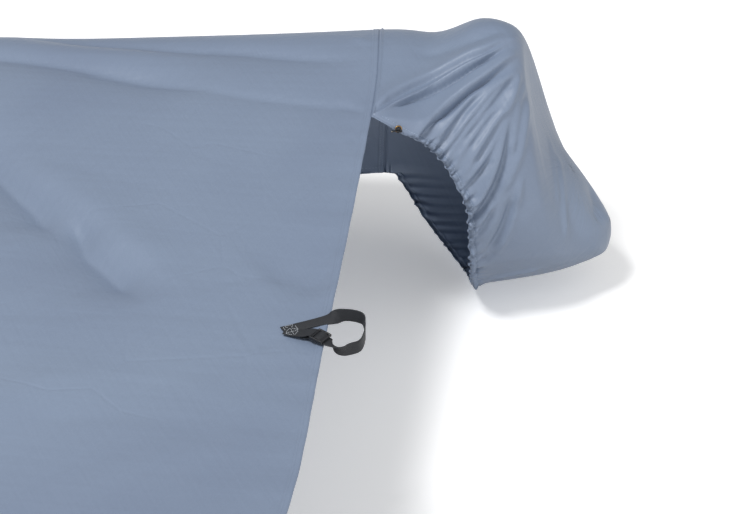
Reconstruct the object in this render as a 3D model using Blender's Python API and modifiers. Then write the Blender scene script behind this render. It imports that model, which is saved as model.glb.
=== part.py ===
"""Fitted cloth cover for a small inflatable catamaran, modelled as it sits on the boat.

Frame: metres, +X aft, +Y starboard, +Z up.  The origin is under the middle of the deck panel,
where the boat carries the cover.  The boat itself is not part of the object, so the cover is a
hollow shell: one main panel over the deck and both hulls, a hood over each of the four hull
ends, and a tightening strap with its buckle at the middle of the aft hem.
"""
import math

import bmesh
import bpy
from mathutils import Vector

# ---------------------------------------------------------------- driving sizes
CLOTH = 0.002            # cloth with its coating, as one thickness
SEAM_GAP = 0.0006        # between the panel's edge and a hood's edge

HULL_Y = 0.77            # hull axis from the centre line
HULL_R = 0.216           # cover radius round a hull
HULL_Z = -0.15           # hull axis height at the stern seam
STERN_X = 1.71           # aft hem of the deck and stern seams
BOW_X = -1.45            # forward hem of the deck and bow seams
STERN_SLOPE = 0.110      # rise of the hull at the stern seam
STERN_BEND = 0.053       # how fast that rise grows
BOW_RISE_X = -0.60       # the hulls start to rise forward of this
BOW_RISE = 0.160         # rise per metre squared
BOW_TAPER_X = -0.90      # the hulls start to taper forward of this
BOW_TAPER = 0.070        # loss of radius per metre squared

CORNER_Y = 0.565         # free corner of the deck hem beside each hull
HEM_ANGLE = 125.0        # outboard hem, degrees round the hull from its top
STAND_SPREAD = 12.0      # degrees round the hull over which that corner's stand-off dies out
STAND_REACH = 0.17       # and its distance along the hull
SEAM_SKEW = 0.020        # the stern seam runs this far forward by the outboard side
HEM_BULGE = 0.008        # the port half of the aft hem hangs this much further aft
DECK_BOW_LIFT = 0.075    # the deck's middle rises this much at the bow hem

WEB_W = 0.020            # strap webbing
WEB_T = 0.0016

# ---------------------------------------------------------------- finishes
FINISHES = {
    "cover_cloth": dict(color=(0.235, 0.303, 0.402, 1), roughness=0.55, metallic=0.0),
    "webbing": dict(color=(0.018, 0.020, 0.024, 1), roughness=0.75, metallic=0.0),
    "buckle_plastic": dict(color=(0.014, 0.015, 0.018, 1), roughness=0.40, metallic=0.0),
    "eyelet_metal": dict(color=(0.45, 0.33, 0.20, 1), roughness=0.35, metallic=1.0),
    "cord": dict(color=(0.012, 0.012, 0.014, 1), roughness=0.80, metallic=0.0),
}

# ---------------------------------------------------------------- tables
# Folds of the deck: from, to in plan; height; width on the port and starboard side of the line.
DECK_FOLDS = [
    # x0,    y0,    x1,    y1,    height,  port,  starboard
    (0.95, 0.665, 1.70, 0.575, 0.0085, 0.050, 0.030),
    (1.05, 0.720, 1.66, 0.650, 0.0060, 0.035, 0.030),
    (1.08, 0.500, 1.46, 0.050, 0.0080, 0.055, 0.070),
    (1.06, 0.400, 1.45, 0.000, -0.0110, 0.060, 0.045),
    (0.20, 0.560, 0.95, 0.300, 0.0080, 0.080, 0.080),
    (-0.90, 0.500, -0.25, 0.620, 0.0080, 0.070, 0.080),
    (0.80, -0.660, 1.68, -0.580, 0.0075, 0.035, 0.055),
    (0.95, -0.520, 1.40, -0.140, 0.0070, 0.065, 0.060),
    (-0.20, -0.600, 0.60, -0.350, 0.0080, 0.080, 0.080),
    (-1.20, -0.560, -0.50, -0.330, 0.0090, 0.080, 0.070),
    (-0.60, 0.060, 0.40, -0.040, 0.0060, 0.090, 0.090),
]

# Sections of a stern hood: distance aft of the seam and height of the section's top and
# bottom point, half its width, and how much narrower it is above than below.
STERN_SECTIONS = [
    # top_d, top_z,  bot_d,  bot_z, half_w, egg
    (-0.200, 0.196, -0.200, -0.236, 0.216, 0.00),
    (0.000, 0.216, 0.000, -0.216, 0.216, 0.00),
    (0.080, 0.217, 0.100, -0.207, 0.209, 0.00),
    (0.150, 0.251, 0.190, -0.197, 0.192, 0.05),
    (0.200, 0.250, 0.262, -0.184, 0.165, 0.15),
    (0.224, 0.229, 0.303, -0.174, 0.140, 0.25),
    (0.233, 0.187, 0.326, -0.167, 0.120, 0.30),
    (0.245, 0.132, 0.343, -0.162, 0.104, 0.25),
    (0.276, 0.055, 0.360, -0.156, 0.086, 0.15),
    (0.322, -0.012, 0.378, -0.145, 0.064, 0.05),
    (0.360, -0.064, 0.384, -0.122, 0.036, 0.00),
    (0.380, -0.090, 0.383, -0.102, 0.006, 0.00),
]
# The same for a bow hood, with distances forward of its seam.
BOW_SECTIONS = [
    # top_d, top_z,  bot_d,  bot_z, half_w, egg
    (-0.200, 0.163, -0.200, -0.249, 0.206, 0.00),
    (0.000, 0.195, 0.000, -0.195, 0.195, 0.00),
    (0.160, 0.231, 0.180, -0.128, 0.178, 0.00),
    (0.340, 0.276, 0.380, -0.035, 0.150, 0.05),
    (0.480, 0.300, 0.530, 0.052, 0.115, 0.10),
    (0.570, 0.298, 0.610, 0.115, 0.078, 0.10),
    (0.620, 0.272, 0.640, 0.165, 0.045, 0.05),
    (0.645, 0.235, 0.648, 0.215, 0.008, 0.00),
]

# The elastic hem of a hood: angle round the hull from its top (inboard is negative) and the
# distance from the seam.
STERN_HEM = [
    (-47.5, 0.000), (-52.0, 0.046), (-54.0, 0.070), (-58.0, 0.090), (-66.0, 0.112),
    (-74.0, 0.128), (-86.0, 0.147), (-100.0, 0.155), (-145.0, 0.157), (-170.0, 0.147),
    (-190.0, 0.115), (-212.0, 0.060), (-235.0, 0.000),
]
BOW_HEM = [
    (-46.0, 0.000), (-56.0, 0.080), (-75.0, 0.150), (-110.0, 0.190), (-150.0, 0.190),
    (-180.0, 0.160), (-205.0, 0.090), (-235.0, 0.000),
]

# Folds of a stern hood: from and to, as distance from the seam and angle; height; half width.
HOOD_FOLDS = [
    # d0,    angle0,  d1,    angle1,  height,  width
    (0.215, -9.0, 0.010, -43.0, 0.0070, 0.014),
    (0.214, -20.0, 0.080, -51.0, 0.0055, 0.012),
    (0.218, -28.0, 0.120, -60.0, 0.0050, 0.012),
    (0.215, -40.0, 0.145, -76.0, 0.0050, 0.012),
    (0.226, -58.0, 0.170, -98.0, 0.0055, 0.013),
    (0.240, -60.0, 0.190, -122.0, 0.0045, 0.014),
]

# Columns of cloth: over the deck, beside the corner, round the hull, and round each hood's hem.
COLUMNS = {
    "starboard": dict(deck=11, flat=5, round=13, stern_hem=40, bow_hem=15),
    "port": dict(deck=8, flat=3, round=9, stern_hem=24, bow_hem=13),
}
FINE_FROM_X = 0.95       # the panel's rows are closer together aft of this

# Strap stations: place, and the turn of the webbing's width out of level in degrees.
LONG_STRAP = [
    # x,     y,      z,       turn
    (1.650, -0.003, 0.0023, 0.0),
    (1.672, 0.006, 0.0023, 0.0),
    (1.694, 0.0155, 0.0026, 0.0),
    (1.711, 0.0215, 0.0040, 3.0),
    (1.719, 0.0240, 0.0070, 40.0),
    (1.728, 0.0245, 0.0105, 85.0),
    (1.740, 0.0235, 0.0115, 90.0),
    (1.754, 0.0180, 0.0085, 90.0),
    (1.762, 0.0060, 0.0010, 90.0),
    (1.761, -0.0080, -0.0070, 90.0),
    (1.752, -0.0190, -0.0115, 90.0),
    (1.738, -0.0240, -0.0120, 90.0),
    (1.7270, -0.0250, -0.0075, 66.0),
    (1.7190, -0.0245, 0.0010, 26.0),
    (1.7110, -0.0230, 0.0036, 3.0),
    (1.697, -0.0195, 0.0028, 0.0),
    (1.683, -0.0155, 0.0024, 0.0),
]
SHORT_STRAP = [
    # x,     y,      z,       turn
    (1.652, 0.002, 0.0044, 0.0),
    (1.666, -0.005, 0.0046, 0.0),
    (1.680, -0.012, 0.0060, 0.0),
    (1.6938, -0.0182, 0.0096, 0.0),
]
BUCKLE_AT = (1.7045, -0.0235, 0.0092)
BUCKLE_LENGTH = 0.022
BUCKLE_WIDTH = 0.026
BUCKLE_HEIGHT = 0.005
BUCKLE_SIDE = 0.0026     # rails beside the slots
SLOT_WIDTH = 0.0036
SLOT_AT = 0.0048         # each slot's middle from the buckle's middle
BUCKLE_TURN = -27.0      # heading of the short strap, degrees
BUCKLE_DIP = 8.0         # the buckle's aft end points down over the hem

EYELET_R = 0.0050
EYELET_WIRE = 0.0012
EYELET_CLEAR = 0.0008    # the ring stands this far off the faceted cloth
KNOT_R = 0.0056
CORD_R = 0.0016
CORD_END = 0.013
KNOT_INSET = 0.010       # from the hem's edge to the eyelet's middle
KNOT_ANGLE = -52.5       # where the cord comes out of a stern hood's hem


def smooth(t):
    """Ease 0..1 with flat ends."""
    t = min(max(t, 0.0), 1.0)
    return t * t * (3.0 - 2.0 * t)


def hull_height(x):
    """Height of the hull's axis at x: nearly level amidships, rising to both ends."""
    aft = max(x - STERN_X, -STERN_SLOPE / (2.0 * STERN_BEND))
    bow = max(BOW_RISE_X - x, 0.0)
    return HULL_Z + STERN_SLOPE * aft + STERN_BEND * aft * aft + BOW_RISE * bow * bow


def hull_radius(x):
    """Cover radius at x, tapering towards the bow."""
    return HULL_R - BOW_TAPER * max(BOW_TAPER_X - x, 0.0) ** 2


def deck_middle(x):
    """Height of the deck panel on the centre line."""
    return DECK_BOW_LIFT * smooth((BOW_RISE_X - x) / (BOW_RISE_X - BOW_X))


def lean(x):
    """Angle from the hull's top to where the deck panel leaves the hull."""
    rise = hull_height(x) + hull_radius(x) - deck_middle(x)
    return math.atan2(2.0 * rise, HULL_Y)


def deck_profile(x, y):
    """Height of the stretched deck panel at distance y from the centre line."""
    radius, angle = hull_radius(x), lean(x)
    reach = HULL_Y - radius * math.sin(angle)
    top = hull_height(x) + radius * math.cos(angle)
    middle = deck_middle(x)
    t = abs(y) / reach
    return (middle + (top - middle) * t * t * (3.0 - 2.0 * t)
            + reach * math.tan(angle) * t * t * (t - 1.0))


def ridge(px, py, fold):
    """Height that one fold of the deck adds at a point of the plan."""
    x0, y0, x1, y1, height, port, starboard = fold
    dx, dy = x1 - x0, y1 - y0
    length = math.hypot(dx, dy)
    along = ((px - x0) * dx + (py - y0) * dy) / (length * length)
    across = ((py - y0) * dx - (px - x0) * dy) / length
    width = starboard if across > 0.0 else port
    ends = smooth((along + 0.15) / 0.35) * smooth((1.12 - along) / 0.25)
    return height * ends * math.exp(-(across / width) ** 2)


def deck_folds(x, y):
    """All the folds of the deck at a point of the plan."""
    return sum(ridge(x, y, fold) for fold in DECK_FOLDS)


def seam_skew(angle):
    """How far forward of its line the stern seam lies at an angle round the hull."""
    return SEAM_SKEW * smooth((math.degrees(angle) + 43.0) / 90.0)


def panel_point(x, reach, side):
    """Point of the main panel.

    Reach runs 0..1 over the deck to the hem's free corner, 1..2 to where the panel meets the
    hull, and 2..3 round the hull to the outboard hem.
    """
    near_stern = smooth((x - 1.2) / (STERN_X - 1.2))
    if reach <= 2.0:
        flat = HULL_Y - hull_radius(x) * math.sin(lean(x))
        y = reach * CORNER_Y if reach <= 1.0 else CORNER_Y + (flat - CORNER_Y) * (reach - 1.0)
        turn = math.atan2(y - HULL_Y, deck_profile(x, y) - hull_height(x))
        x -= seam_skew(turn) * near_stern
        aft_fade = 1.0 - 0.4 * smooth((x - STERN_X + 0.03) / 0.03)
        z = deck_profile(x, y) + deck_folds(x, side * y) * smooth((flat - y) / 0.06 + 0.25) * aft_fade
        if side < 0 and reach < 1.0:
            x += HEM_BULGE * near_stern * math.sin(math.pi * reach ** 1.7)
    else:
        start = -lean(x)
        turn = start + (math.radians(HEM_ANGLE) - start) * (reach - 2.0)
        x -= seam_skew(turn) * near_stern
        radius = hull_radius(x)
        y = HULL_Y + radius * math.sin(turn)
        z = hull_height(x) + radius * math.cos(turn)
        z += deck_folds(x, side * y) * 0.25 * smooth(1.0 - radius * (turn - start) / 0.10)
        hem = smooth((math.degrees(turn) - HEM_ANGLE + 22.0) / 22.0)
        hem *= smooth((STERN_X - x) / 0.15) * smooth((x - BOW_X) / 0.15)
        y -= 0.005 * hem * (1.0 + math.sin(x * 47.0 + 1.7 * math.sin(x * 9.0)))
    return Vector((x, side * y, z))


# ---------------------------------------------------------------- mesh helpers
def make_object(name, mesh, finish, collection):
    """Link a mesh as a named object with its finish."""
    obj = bpy.data.objects.new(name, mesh)
    obj.data.materials.append(finish)
    collection.objects.link(obj)
    return obj


def loft(name, rows, closed=False, tip=None):
    """Mesh of quads through rows of points, optionally closed round and ended in a tip."""
    bm = bmesh.new()
    grid = [[bm.verts.new(point) for point in row] for row in rows]
    count = len(rows[0])
    steps = count if closed else count - 1
    for near, far in zip(grid, grid[1:]):
        for i in range(steps):
            j = (i + 1) % count
            bm.faces.new((near[i], near[j], far[j], far[i]))
    if tip is not None:
        end = bm.verts.new(tip)
        for i in range(steps):
            bm.faces.new((grid[-1][i], grid[-1][(i + 1) % count], end))
    bmesh.ops.recalc_face_normals(bm, faces=bm.faces)
    mesh = bpy.data.meshes.new(name)
    bm.to_mesh(mesh)
    bm.free()
    mesh.polygons.foreach_set("use_smooth", [True] * len(mesh.polygons))
    return mesh


def thicken(obj, thickness):
    """Give an open sheet its thickness, half to each side."""
    solid = obj.modifiers.new("thickness", "SOLIDIFY")
    solid.thickness = thickness
    solid.offset = 0.0
    return obj


def spaced(start, stop, count, bias=1.0):
    """Numbers from start to stop, closer together at stop when bias is over 1."""
    return [start + (stop - start) * (1.0 - (1.0 - i / count) ** bias) for i in range(count + 1)]


# ---------------------------------------------------------------- main panel
def reaches(counts):
    """Reach of each column of the panel from the centre line out, for its counts of columns."""
    steps = [zone + i / counts[key] for zone, key in enumerate(("deck", "flat", "round"))
             for i in range(counts[key])]
    return steps + [3.0]


def build_main_panel(finish, collection):
    """Deck, both hull tops and both outboard drops, cut and sewn as one panel."""
    stations = spaced(BOW_X, FINE_FROM_X, 19)[:-1] + spaced(FINE_FROM_X, STERN_X, 20)
    port = [(-1, reach) for reach in reversed(reaches(COLUMNS["port"]))]
    starboard = [(1, reach) for reach in reaches(COLUMNS["starboard"])]
    across = port[:-1] + starboard
    rows = [[panel_point(x, reach, side) for side, reach in across] for x in stations]
    mesh = loft("main_panel", rows)
    return thicken(make_object("main_panel", mesh, finish, collection), CLOTH)


# ---------------------------------------------------------------- hoods
def blend_rows(table, at):
    """Row of a table between its rows, by a smooth curve through them."""
    last = len(table) - 1
    low = min(max(int(math.floor(at)), 0), last - 1)
    t = at - low
    a, b, c, d = (table[min(max(low + k, 0), last)] for k in (-1, 0, 1, 2))
    return [0.5 * (2 * q + (r - p) * t + (2 * p - 5 * q + 4 * r - s) * t * t
                   + (3 * q - p - 3 * r + s) * t ** 3) for p, q, r, s in zip(a, b, c, d)]


def look_up(table, key):
    """Value for a key in a falling two-column table, eased between rows."""
    for (k0, v0), (k1, v1) in zip(table, table[1:]):
        if key >= k1:
            return v0 + (v1 - v0) * min(max((k0 - key) / (k0 - k1), 0.0), 1.0)
    return table[-1][1]


class Hood:
    """One hull-end hood: a bag from its seam and elastic hem to the tip of the hull."""

    def __init__(self, name, end, side, sections, hem, folds):
        self.name = name
        self.end = end                 # 1 at the stern, -1 at the bow
        self.side = side               # 1 to starboard, -1 to port
        self.sections = sections
        self.hem = hem
        self.folds = folds
        self.seam_x = STERN_X if end > 0 else BOW_X
        self.centre = hull_height(self.seam_x)
        self.radius = hull_radius(self.seam_x)

    def skin(self, at, angle):
        """Point on the hull form at a section number and an angle round it, starboard side."""
        top_d, top_z, bot_d, bot_z, half, egg = blend_rows(self.sections, at)
        c, s = math.cos(angle), math.sin(angle)
        d = (top_d + bot_d) / 2 + (top_d - bot_d) / 2 * c
        z = (top_z + bot_z) / 2 + (top_z - bot_z) / 2 * c
        return Vector((self.seam_x + self.end * d, HULL_Y + half * s * (1 - egg * c), self.centre + z))

    def section_at(self, distance, angle):
        """Section number where the skin at this angle lies at a distance from the seam."""
        low, high = 0.0, len(self.sections) - 1.0
        for _ in range(30):
            mid = (low + high) / 2
            if self.end * (self.skin(mid, angle).x - self.seam_x) < distance:
                low = mid
            else:
                high = mid
        return low

    def corner(self):
        """Angle and stand-off of the free corner where deck hem and hood hem meet."""
        rise = deck_profile(self.seam_x, CORNER_Y) - self.centre
        run = CORNER_Y - HULL_Y
        return math.atan2(run, rise), math.hypot(run, rise) - self.radius

    def columns(self, counts):
        """Angle, stand-off and start distance of each column round the hood."""
        found = []
        edge = HULL_Y - self.radius * math.sin(lean(self.seam_x))
        for i in range(counts["flat"]):
            y = CORNER_Y + (edge - CORNER_Y) * i / counts["flat"]
            rise, run = deck_profile(self.seam_x, y) - self.centre, y - HULL_Y
            found.append((math.atan2(run, rise), math.hypot(run, rise) - self.radius, None))
        start, stop = -lean(self.seam_x), math.radians(HEM_ANGLE)
        for i in range(counts["round"] + 1):
            found.append((start + (stop - start) * i / counts["round"], 0.0, None))
        corner_angle, stand_off = self.corner()
        first, last = HEM_ANGLE - 360.0, math.degrees(corner_angle)
        hem_count = counts["stern_hem" if self.end > 0 else "bow_hem"]
        for i in range(1, hem_count):
            t = i / hem_count
            degrees = first + (last - first) * (1.0 - (1.0 - t) ** 1.25)
            off = stand_off * math.exp(-((last - degrees) / STAND_SPREAD) ** 2)
            found.append((math.radians(degrees), off, look_up(self.hem, degrees)))
        return found

    def fold_height(self, distance, degrees):
        """Height that the folds add at a place on the hood."""
        total = 0.0
        for d0, angle0, d1, angle1, height, width in self.folds:
            scale = math.radians(self.radius)
            dx, dy = d1 - d0, (angle1 - angle0) * scale
            px, py = distance - d0, (degrees - angle0) * scale
            length = math.hypot(dx, dy)
            along = (px * dx + py * dy) / (length * length)
            across = (px * dy - py * dx) / length
            ends = smooth((along + 0.1) / 0.3) * smooth((1.1 - along) / 0.2)
            total += height * ends * math.exp(-(across / width) ** 2)
        return total

    def rows(self, columns, count):
        """Rows of points from the seam and hem to the last section before the tip."""
        last = len(self.sections) - 1.0
        result = [[] for _ in range(count + 1)]
        for number, (angle, stand_off, start) in enumerate(columns):
            on_seam = start is None
            distance = SEAM_GAP if on_seam else max(start, SEAM_GAP)
            if on_seam and self.end > 0:
                distance -= seam_skew(angle)
            first = self.section_at(distance, angle)
            degrees = math.degrees(angle)
            for i in range(count + 1):
                at = first + (last - first) * (i / count) ** 1.15
                point = self.skin(at, angle)
                away = self.end * (point.x - self.seam_x)
                out = stand_off * (1.0 - smooth(away / STAND_REACH))
                out += self.fold_height(away, degrees) * smooth(i / 2.0)
                if not on_seam:
                    fade = math.exp(-((away - distance) / 0.035) ** 2)
                    out += 0.0035 * fade * math.sin(number * 2.1)
                out *= smooth((last - at) / 2.0)
                radial = Vector((0.0, math.sin(angle), math.cos(angle)))
                point += radial * out
                result[i].append(Vector((point.x, self.side * point.y, point.z)))
        return result

    def build(self, columns, count, finish, collection):
        """Make the hood as a sheet with its thickness, and give back its rows."""
        rows = self.rows(columns, count)
        tip = sum(rows[-1], Vector()) / len(rows[-1]) + Vector((self.end * 0.004, 0.0, 0.0))
        mesh = loft(self.name, rows, closed=True, tip=tip)
        thicken(make_object(self.name, mesh, finish, collection), CLOTH)
        return rows


def build_hoods(finish, collection):
    """A hood for each hull end; gives back the stern hoods with their rows of points."""
    stern_hoods = {}
    for side, name in ((1, "starboard"), (-1, "port")):
        counts = COLUMNS[name]
        folds = HOOD_FOLDS if side > 0 else HOOD_FOLDS[:4]
        stern = Hood(f"stern_hood_{name}", 1, side, STERN_SECTIONS, STERN_HEM, folds)
        rows = stern.build(stern.columns(counts), 13 if side > 0 else 11, finish, collection)
        stern_hoods[name] = stern, rows
        bow = Hood(f"bow_hood_{name}", -1, side, BOW_SECTIONS, BOW_HEM, [])
        bow.build(bow.columns(counts), 8, finish, collection)
    return stern_hoods


# ---------------------------------------------------------------- strap
def ribbon(name, stations, finish, collection, steps=3):
    """Webbing through stations, each with its place and the turn of its width."""
    rows = []
    last = len(stations) - 1
    for i in range(last * steps + 1):
        x, y, z, turn = blend_rows(stations, i / steps)
        before = blend_rows(stations, max(i / steps - 0.05, 0.0))
        after = blend_rows(stations, min(i / steps + 0.05, last))
        ahead = (Vector(after[:3]) - Vector(before[:3])).normalized()
        level = Vector((0, 0, 1)).cross(ahead).normalized()
        upright = ahead.cross(level)
        width = level * math.cos(math.radians(turn)) + upright * math.sin(math.radians(turn))
        thick = ahead.cross(width).normalized()
        middle = Vector((x, y, z))
        rows.append([middle + width * (a * WEB_W / 2) + thick * (b * WEB_T / 2)
                     for a, b in ((-1, -1), (1, -1), (1, 1), (-1, 1))])
    bm = bmesh.new()
    grid = [[bm.verts.new(point) for point in row] for row in rows]
    for near, far in zip(grid, grid[1:]):
        for i in range(4):
            j = (i + 1) % 4
            bm.faces.new((near[i], near[j], far[j], far[i]))
    bm.faces.new(grid[0])
    bm.faces.new(grid[-1])
    bmesh.ops.recalc_face_normals(bm, faces=bm.faces)
    mesh = bpy.data.meshes.new(name)
    bm.to_mesh(mesh)
    bm.free()
    return make_object(name, mesh, finish, collection)


def build_buckle(finish, collection):
    """Ladder-lock buckle: a frame with two slots either side of its middle bar."""
    bpy.ops.mesh.primitive_cube_add(size=1.0)
    body = bpy.context.object
    body.name = "strap_buckle"
    body.data.materials.append(finish)
    body.scale = (BUCKLE_LENGTH, BUCKLE_WIDTH, BUCKLE_HEIGHT)
    bpy.ops.object.transform_apply(location=False, rotation=False, scale=True)
    for other in body.users_collection:
        other.objects.unlink(body)
    collection.objects.link(body)
    edges = body.modifiers.new("edges", "BEVEL")
    edges.width = 0.0012
    edges.segments = 2
    return body


def cut_slots(body, cutters):
    """Cut the two slots that the webbing runs through."""
    for number, x in enumerate((-SLOT_AT, SLOT_AT)):
        bpy.ops.mesh.primitive_cube_add(size=1.0, location=(x, 0.0, 0.0))
        cutter = bpy.context.object
        cutter.name = f"slot_cutter_{number}"
        cutter.scale = (SLOT_WIDTH, BUCKLE_WIDTH - 2 * BUCKLE_SIDE, BUCKLE_HEIGHT * 3)
        bpy.ops.object.transform_apply(location=True, rotation=False, scale=True)
        cutter.hide_render = True
        cutter.display_type = "WIRE"
        for other in cutter.users_collection:
            other.objects.unlink(cutter)
        cutters.objects.link(cutter)
        cutter.parent = body
        slot = body.modifiers.new(f"slot_{number}", "BOOLEAN")
        slot.operation = "DIFFERENCE"
        slot.object = cutter
    body.location = BUCKLE_AT
    body.rotation_euler = (0.0, math.radians(BUCKLE_DIP), math.radians(BUCKLE_TURN))


# ---------------------------------------------------------------- cord ends
def hem_place(hood, rows, degrees):
    """Place and outward normal on the hood's first face nearest an angle, by its hem."""
    def angle_gap(column):
        point = rows[0][column]
        away = math.degrees(math.atan2(hood.side * point.y - HULL_Y, point.z - hood.centre))
        return abs(away - degrees)
    count = len(rows[0])
    column = min(range(count), key=angle_gap)
    corners = [rows[0][column], rows[0][(column + 1) % count], rows[1][(column + 1) % count],
               rows[1][column]]
    edge, inner = (corners[0] + corners[1]) / 2, (corners[2] + corners[3]) / 2
    middle = edge + (inner - edge).normalized() * KNOT_INSET
    normal = (corners[2] - corners[0]).cross(corners[3] - corners[1]).normalized()
    outward = middle - Vector((middle.x, hood.side * HULL_Y, hood.centre))
    return middle, normal if normal.dot(outward) > 0 else -normal


def add_to(collection, obj, name, finish):
    """Name a fresh primitive, finish it and move it to the collection."""
    obj.name = name
    obj.data.materials.append(finish)
    for other in obj.users_collection:
        other.objects.unlink(obj)
    collection.objects.link(obj)
    return obj


def build_knot(name, place, facing, finishes, collection, cutters):
    """Eyelet in the hood's hem with the end of the elastic cord knotted outside it."""
    turn = facing.to_track_quat("Z", "Y").to_euler()
    seat = CLOTH / 2 + EYELET_CLEAR + EYELET_WIRE
    bpy.ops.mesh.primitive_torus_add(major_segments=16, minor_segments=6, rotation=turn,
                                     major_radius=EYELET_R, minor_radius=EYELET_WIRE,
                                     location=place + facing * seat)
    add_to(collection, bpy.context.object, f"cord_eyelet_{name}", finishes["eyelet_metal"])
    clear = EYELET_WIRE + KNOT_R + SEAM_GAP / 2
    lift = seat + math.sqrt(clear * clear - EYELET_R * EYELET_R)
    bpy.ops.mesh.primitive_uv_sphere_add(segments=12, ring_count=8, radius=KNOT_R, rotation=turn,
                                         location=place + facing * lift)
    knot = add_to(collection, bpy.context.object, f"cord_knot_{name}", finishes["cord"])
    forward = Vector((-1.0, 0.0, 0.0))
    tail = (forward - facing * forward.dot(facing) + facing * 0.25).normalized()
    bpy.ops.mesh.primitive_cylinder_add(vertices=8, radius=CORD_R, depth=CORD_END,
                                        rotation=tail.to_track_quat("Z", "Y").to_euler(),
                                        location=place + facing * lift + tail * CORD_END / 2)
    end = add_to(cutters, bpy.context.object, f"cord_end_{name}", finishes["cord"])
    end.hide_render = True
    end.display_type = "WIRE"
    joined = knot.modifiers.new("cord_end", "BOOLEAN")
    joined.operation = "UNION"
    joined.object = end


def main():
    """Build every piece of the cover."""
    for obj in list(bpy.data.objects):
        bpy.data.objects.remove(obj, do_unlink=True)
    collection = bpy.data.collections.new("boat_cover")
    cutters = bpy.data.collections.new("cutters")
    for made in (collection, cutters):
        bpy.context.scene.collection.children.link(made)
    finishes = {}
    for name, look in FINISHES.items():
        finish = bpy.data.materials.new(name)
        finish.use_nodes = True
        shader = finish.node_tree.nodes["Principled BSDF"]
        shader.inputs["Base Color"].default_value = look["color"]
        shader.inputs["Roughness"].default_value = look["roughness"]
        shader.inputs["Metallic"].default_value = look["metallic"]
        finishes[name] = finish
    build_main_panel(finishes["cover_cloth"], collection)
    stern_hoods = build_hoods(finishes["cover_cloth"], collection)
    ribbon("strap_long", LONG_STRAP, finishes["webbing"], collection)
    ribbon("strap_short", SHORT_STRAP, finishes["webbing"], collection)
    cut_slots(build_buckle(finishes["buckle_plastic"], collection), cutters)
    for name, (hood, rows) in stern_hoods.items():
        place, facing = hem_place(hood, rows, KNOT_ANGLE)
        build_knot(name, place, facing, finishes, collection, cutters)


main()
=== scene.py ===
"""Dressed model of a fitted cloth cover for a small inflatable catamaran.

The cover is one coated polyester panel over the deck and both hulls, with a hood over each of the
four hull ends, an elastic cord in each hood's hem, and a webbing strap with a ladder-lock buckle
at the middle of the aft hem.  Frame: metres, +X aft, +Y starboard, +Z up.
"""
from __future__ import annotations

import logging
import math
from dataclasses import dataclass, field
from enum import Enum
from typing import Any, ClassVar, Mapping, Sequence, Union

import bpy
import numpy as np
from mathutils import Matrix, Vector

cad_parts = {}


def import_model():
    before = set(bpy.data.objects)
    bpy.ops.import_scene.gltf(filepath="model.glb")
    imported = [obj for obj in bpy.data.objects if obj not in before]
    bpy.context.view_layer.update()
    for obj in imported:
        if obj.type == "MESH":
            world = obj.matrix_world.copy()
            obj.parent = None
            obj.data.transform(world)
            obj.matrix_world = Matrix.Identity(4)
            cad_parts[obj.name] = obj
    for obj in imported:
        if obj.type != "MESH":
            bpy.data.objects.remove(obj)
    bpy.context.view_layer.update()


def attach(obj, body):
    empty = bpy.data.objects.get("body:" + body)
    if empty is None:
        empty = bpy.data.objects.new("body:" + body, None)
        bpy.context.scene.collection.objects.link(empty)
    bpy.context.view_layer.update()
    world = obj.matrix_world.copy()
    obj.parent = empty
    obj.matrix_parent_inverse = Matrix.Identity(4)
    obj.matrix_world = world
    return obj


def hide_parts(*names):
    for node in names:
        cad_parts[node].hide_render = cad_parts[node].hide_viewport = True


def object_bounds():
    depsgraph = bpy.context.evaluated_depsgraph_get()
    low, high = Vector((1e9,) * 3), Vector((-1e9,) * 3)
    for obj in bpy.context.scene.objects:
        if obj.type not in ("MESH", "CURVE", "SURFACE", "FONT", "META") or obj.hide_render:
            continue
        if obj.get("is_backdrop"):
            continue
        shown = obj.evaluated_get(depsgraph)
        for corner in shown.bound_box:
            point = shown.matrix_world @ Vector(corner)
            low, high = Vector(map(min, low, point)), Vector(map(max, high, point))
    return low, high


LOG = logging.getLogger("boat_cover")
BODY = "root"
FLAT_COORDS = "cloth_flat"        # mesh attribute: place in the cut cloth, in metres
MM = 0.001
CORD_SIDES = 12
Shape = tuple[np.ndarray, list]     # points, and the vertex numbers of each face
Tree = bpy.types.NodeTree
Source = Union[bpy.types.Node, bpy.types.NodeSocket]    # a node stands for its first output


# ---------------------------------------------------------------- numbers and curves
def ease(t: np.ndarray | float) -> np.ndarray:
    """Ease 0..1 with flat ends."""
    t = np.clip(t, 0.0, 1.0)
    return t * t * (3.0 - 2.0 * t)


def bell(distance: np.ndarray | float, width: np.ndarray | float) -> np.ndarray:
    """Bell curve of height 1 whose half width is width."""
    return np.exp(-(np.asarray(distance) / width) ** 2)


def through(points: Sequence[Sequence[float]], count: int) -> np.ndarray:
    """Smooth curve through points.

    Args:
        points: The points, each with any number of values.
        count: Points on the result.

    Returns:
        An array of count rows.
    """
    table = np.asarray(points, dtype=float)
    at = np.linspace(0.0, len(table) - 1.0, count)
    return blend_rows(table, at)


def blend_rows(table: np.ndarray, at: np.ndarray) -> np.ndarray:
    """Rows of a table between its rows, by a smooth curve through them.

    Args:
        table: Rows of values.
        at: Row numbers, of any shape, with fractions.

    Returns:
        Array of at's shape with one more axis for the table's columns.
    """
    last = len(table) - 1
    low = np.clip(np.floor(at).astype(int), 0, last - 1)
    t = (at - low)[..., None]
    a, b, c, d = (table[np.clip(low + k, 0, last)] for k in (-1, 0, 1, 2))
    return 0.5 * (2 * b + (c - a) * t + (2 * a - 5 * b + 4 * c - d) * t * t
                  + (3 * b - a - 3 * c + d) * t ** 3)


def travelled(line: np.ndarray) -> np.ndarray:
    """Distance from a line's first point to each of its points."""
    steps = np.linalg.norm(np.diff(line[:, :3], axis=0), axis=1)
    return np.concatenate([[0.0], np.cumsum(steps)])


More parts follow.
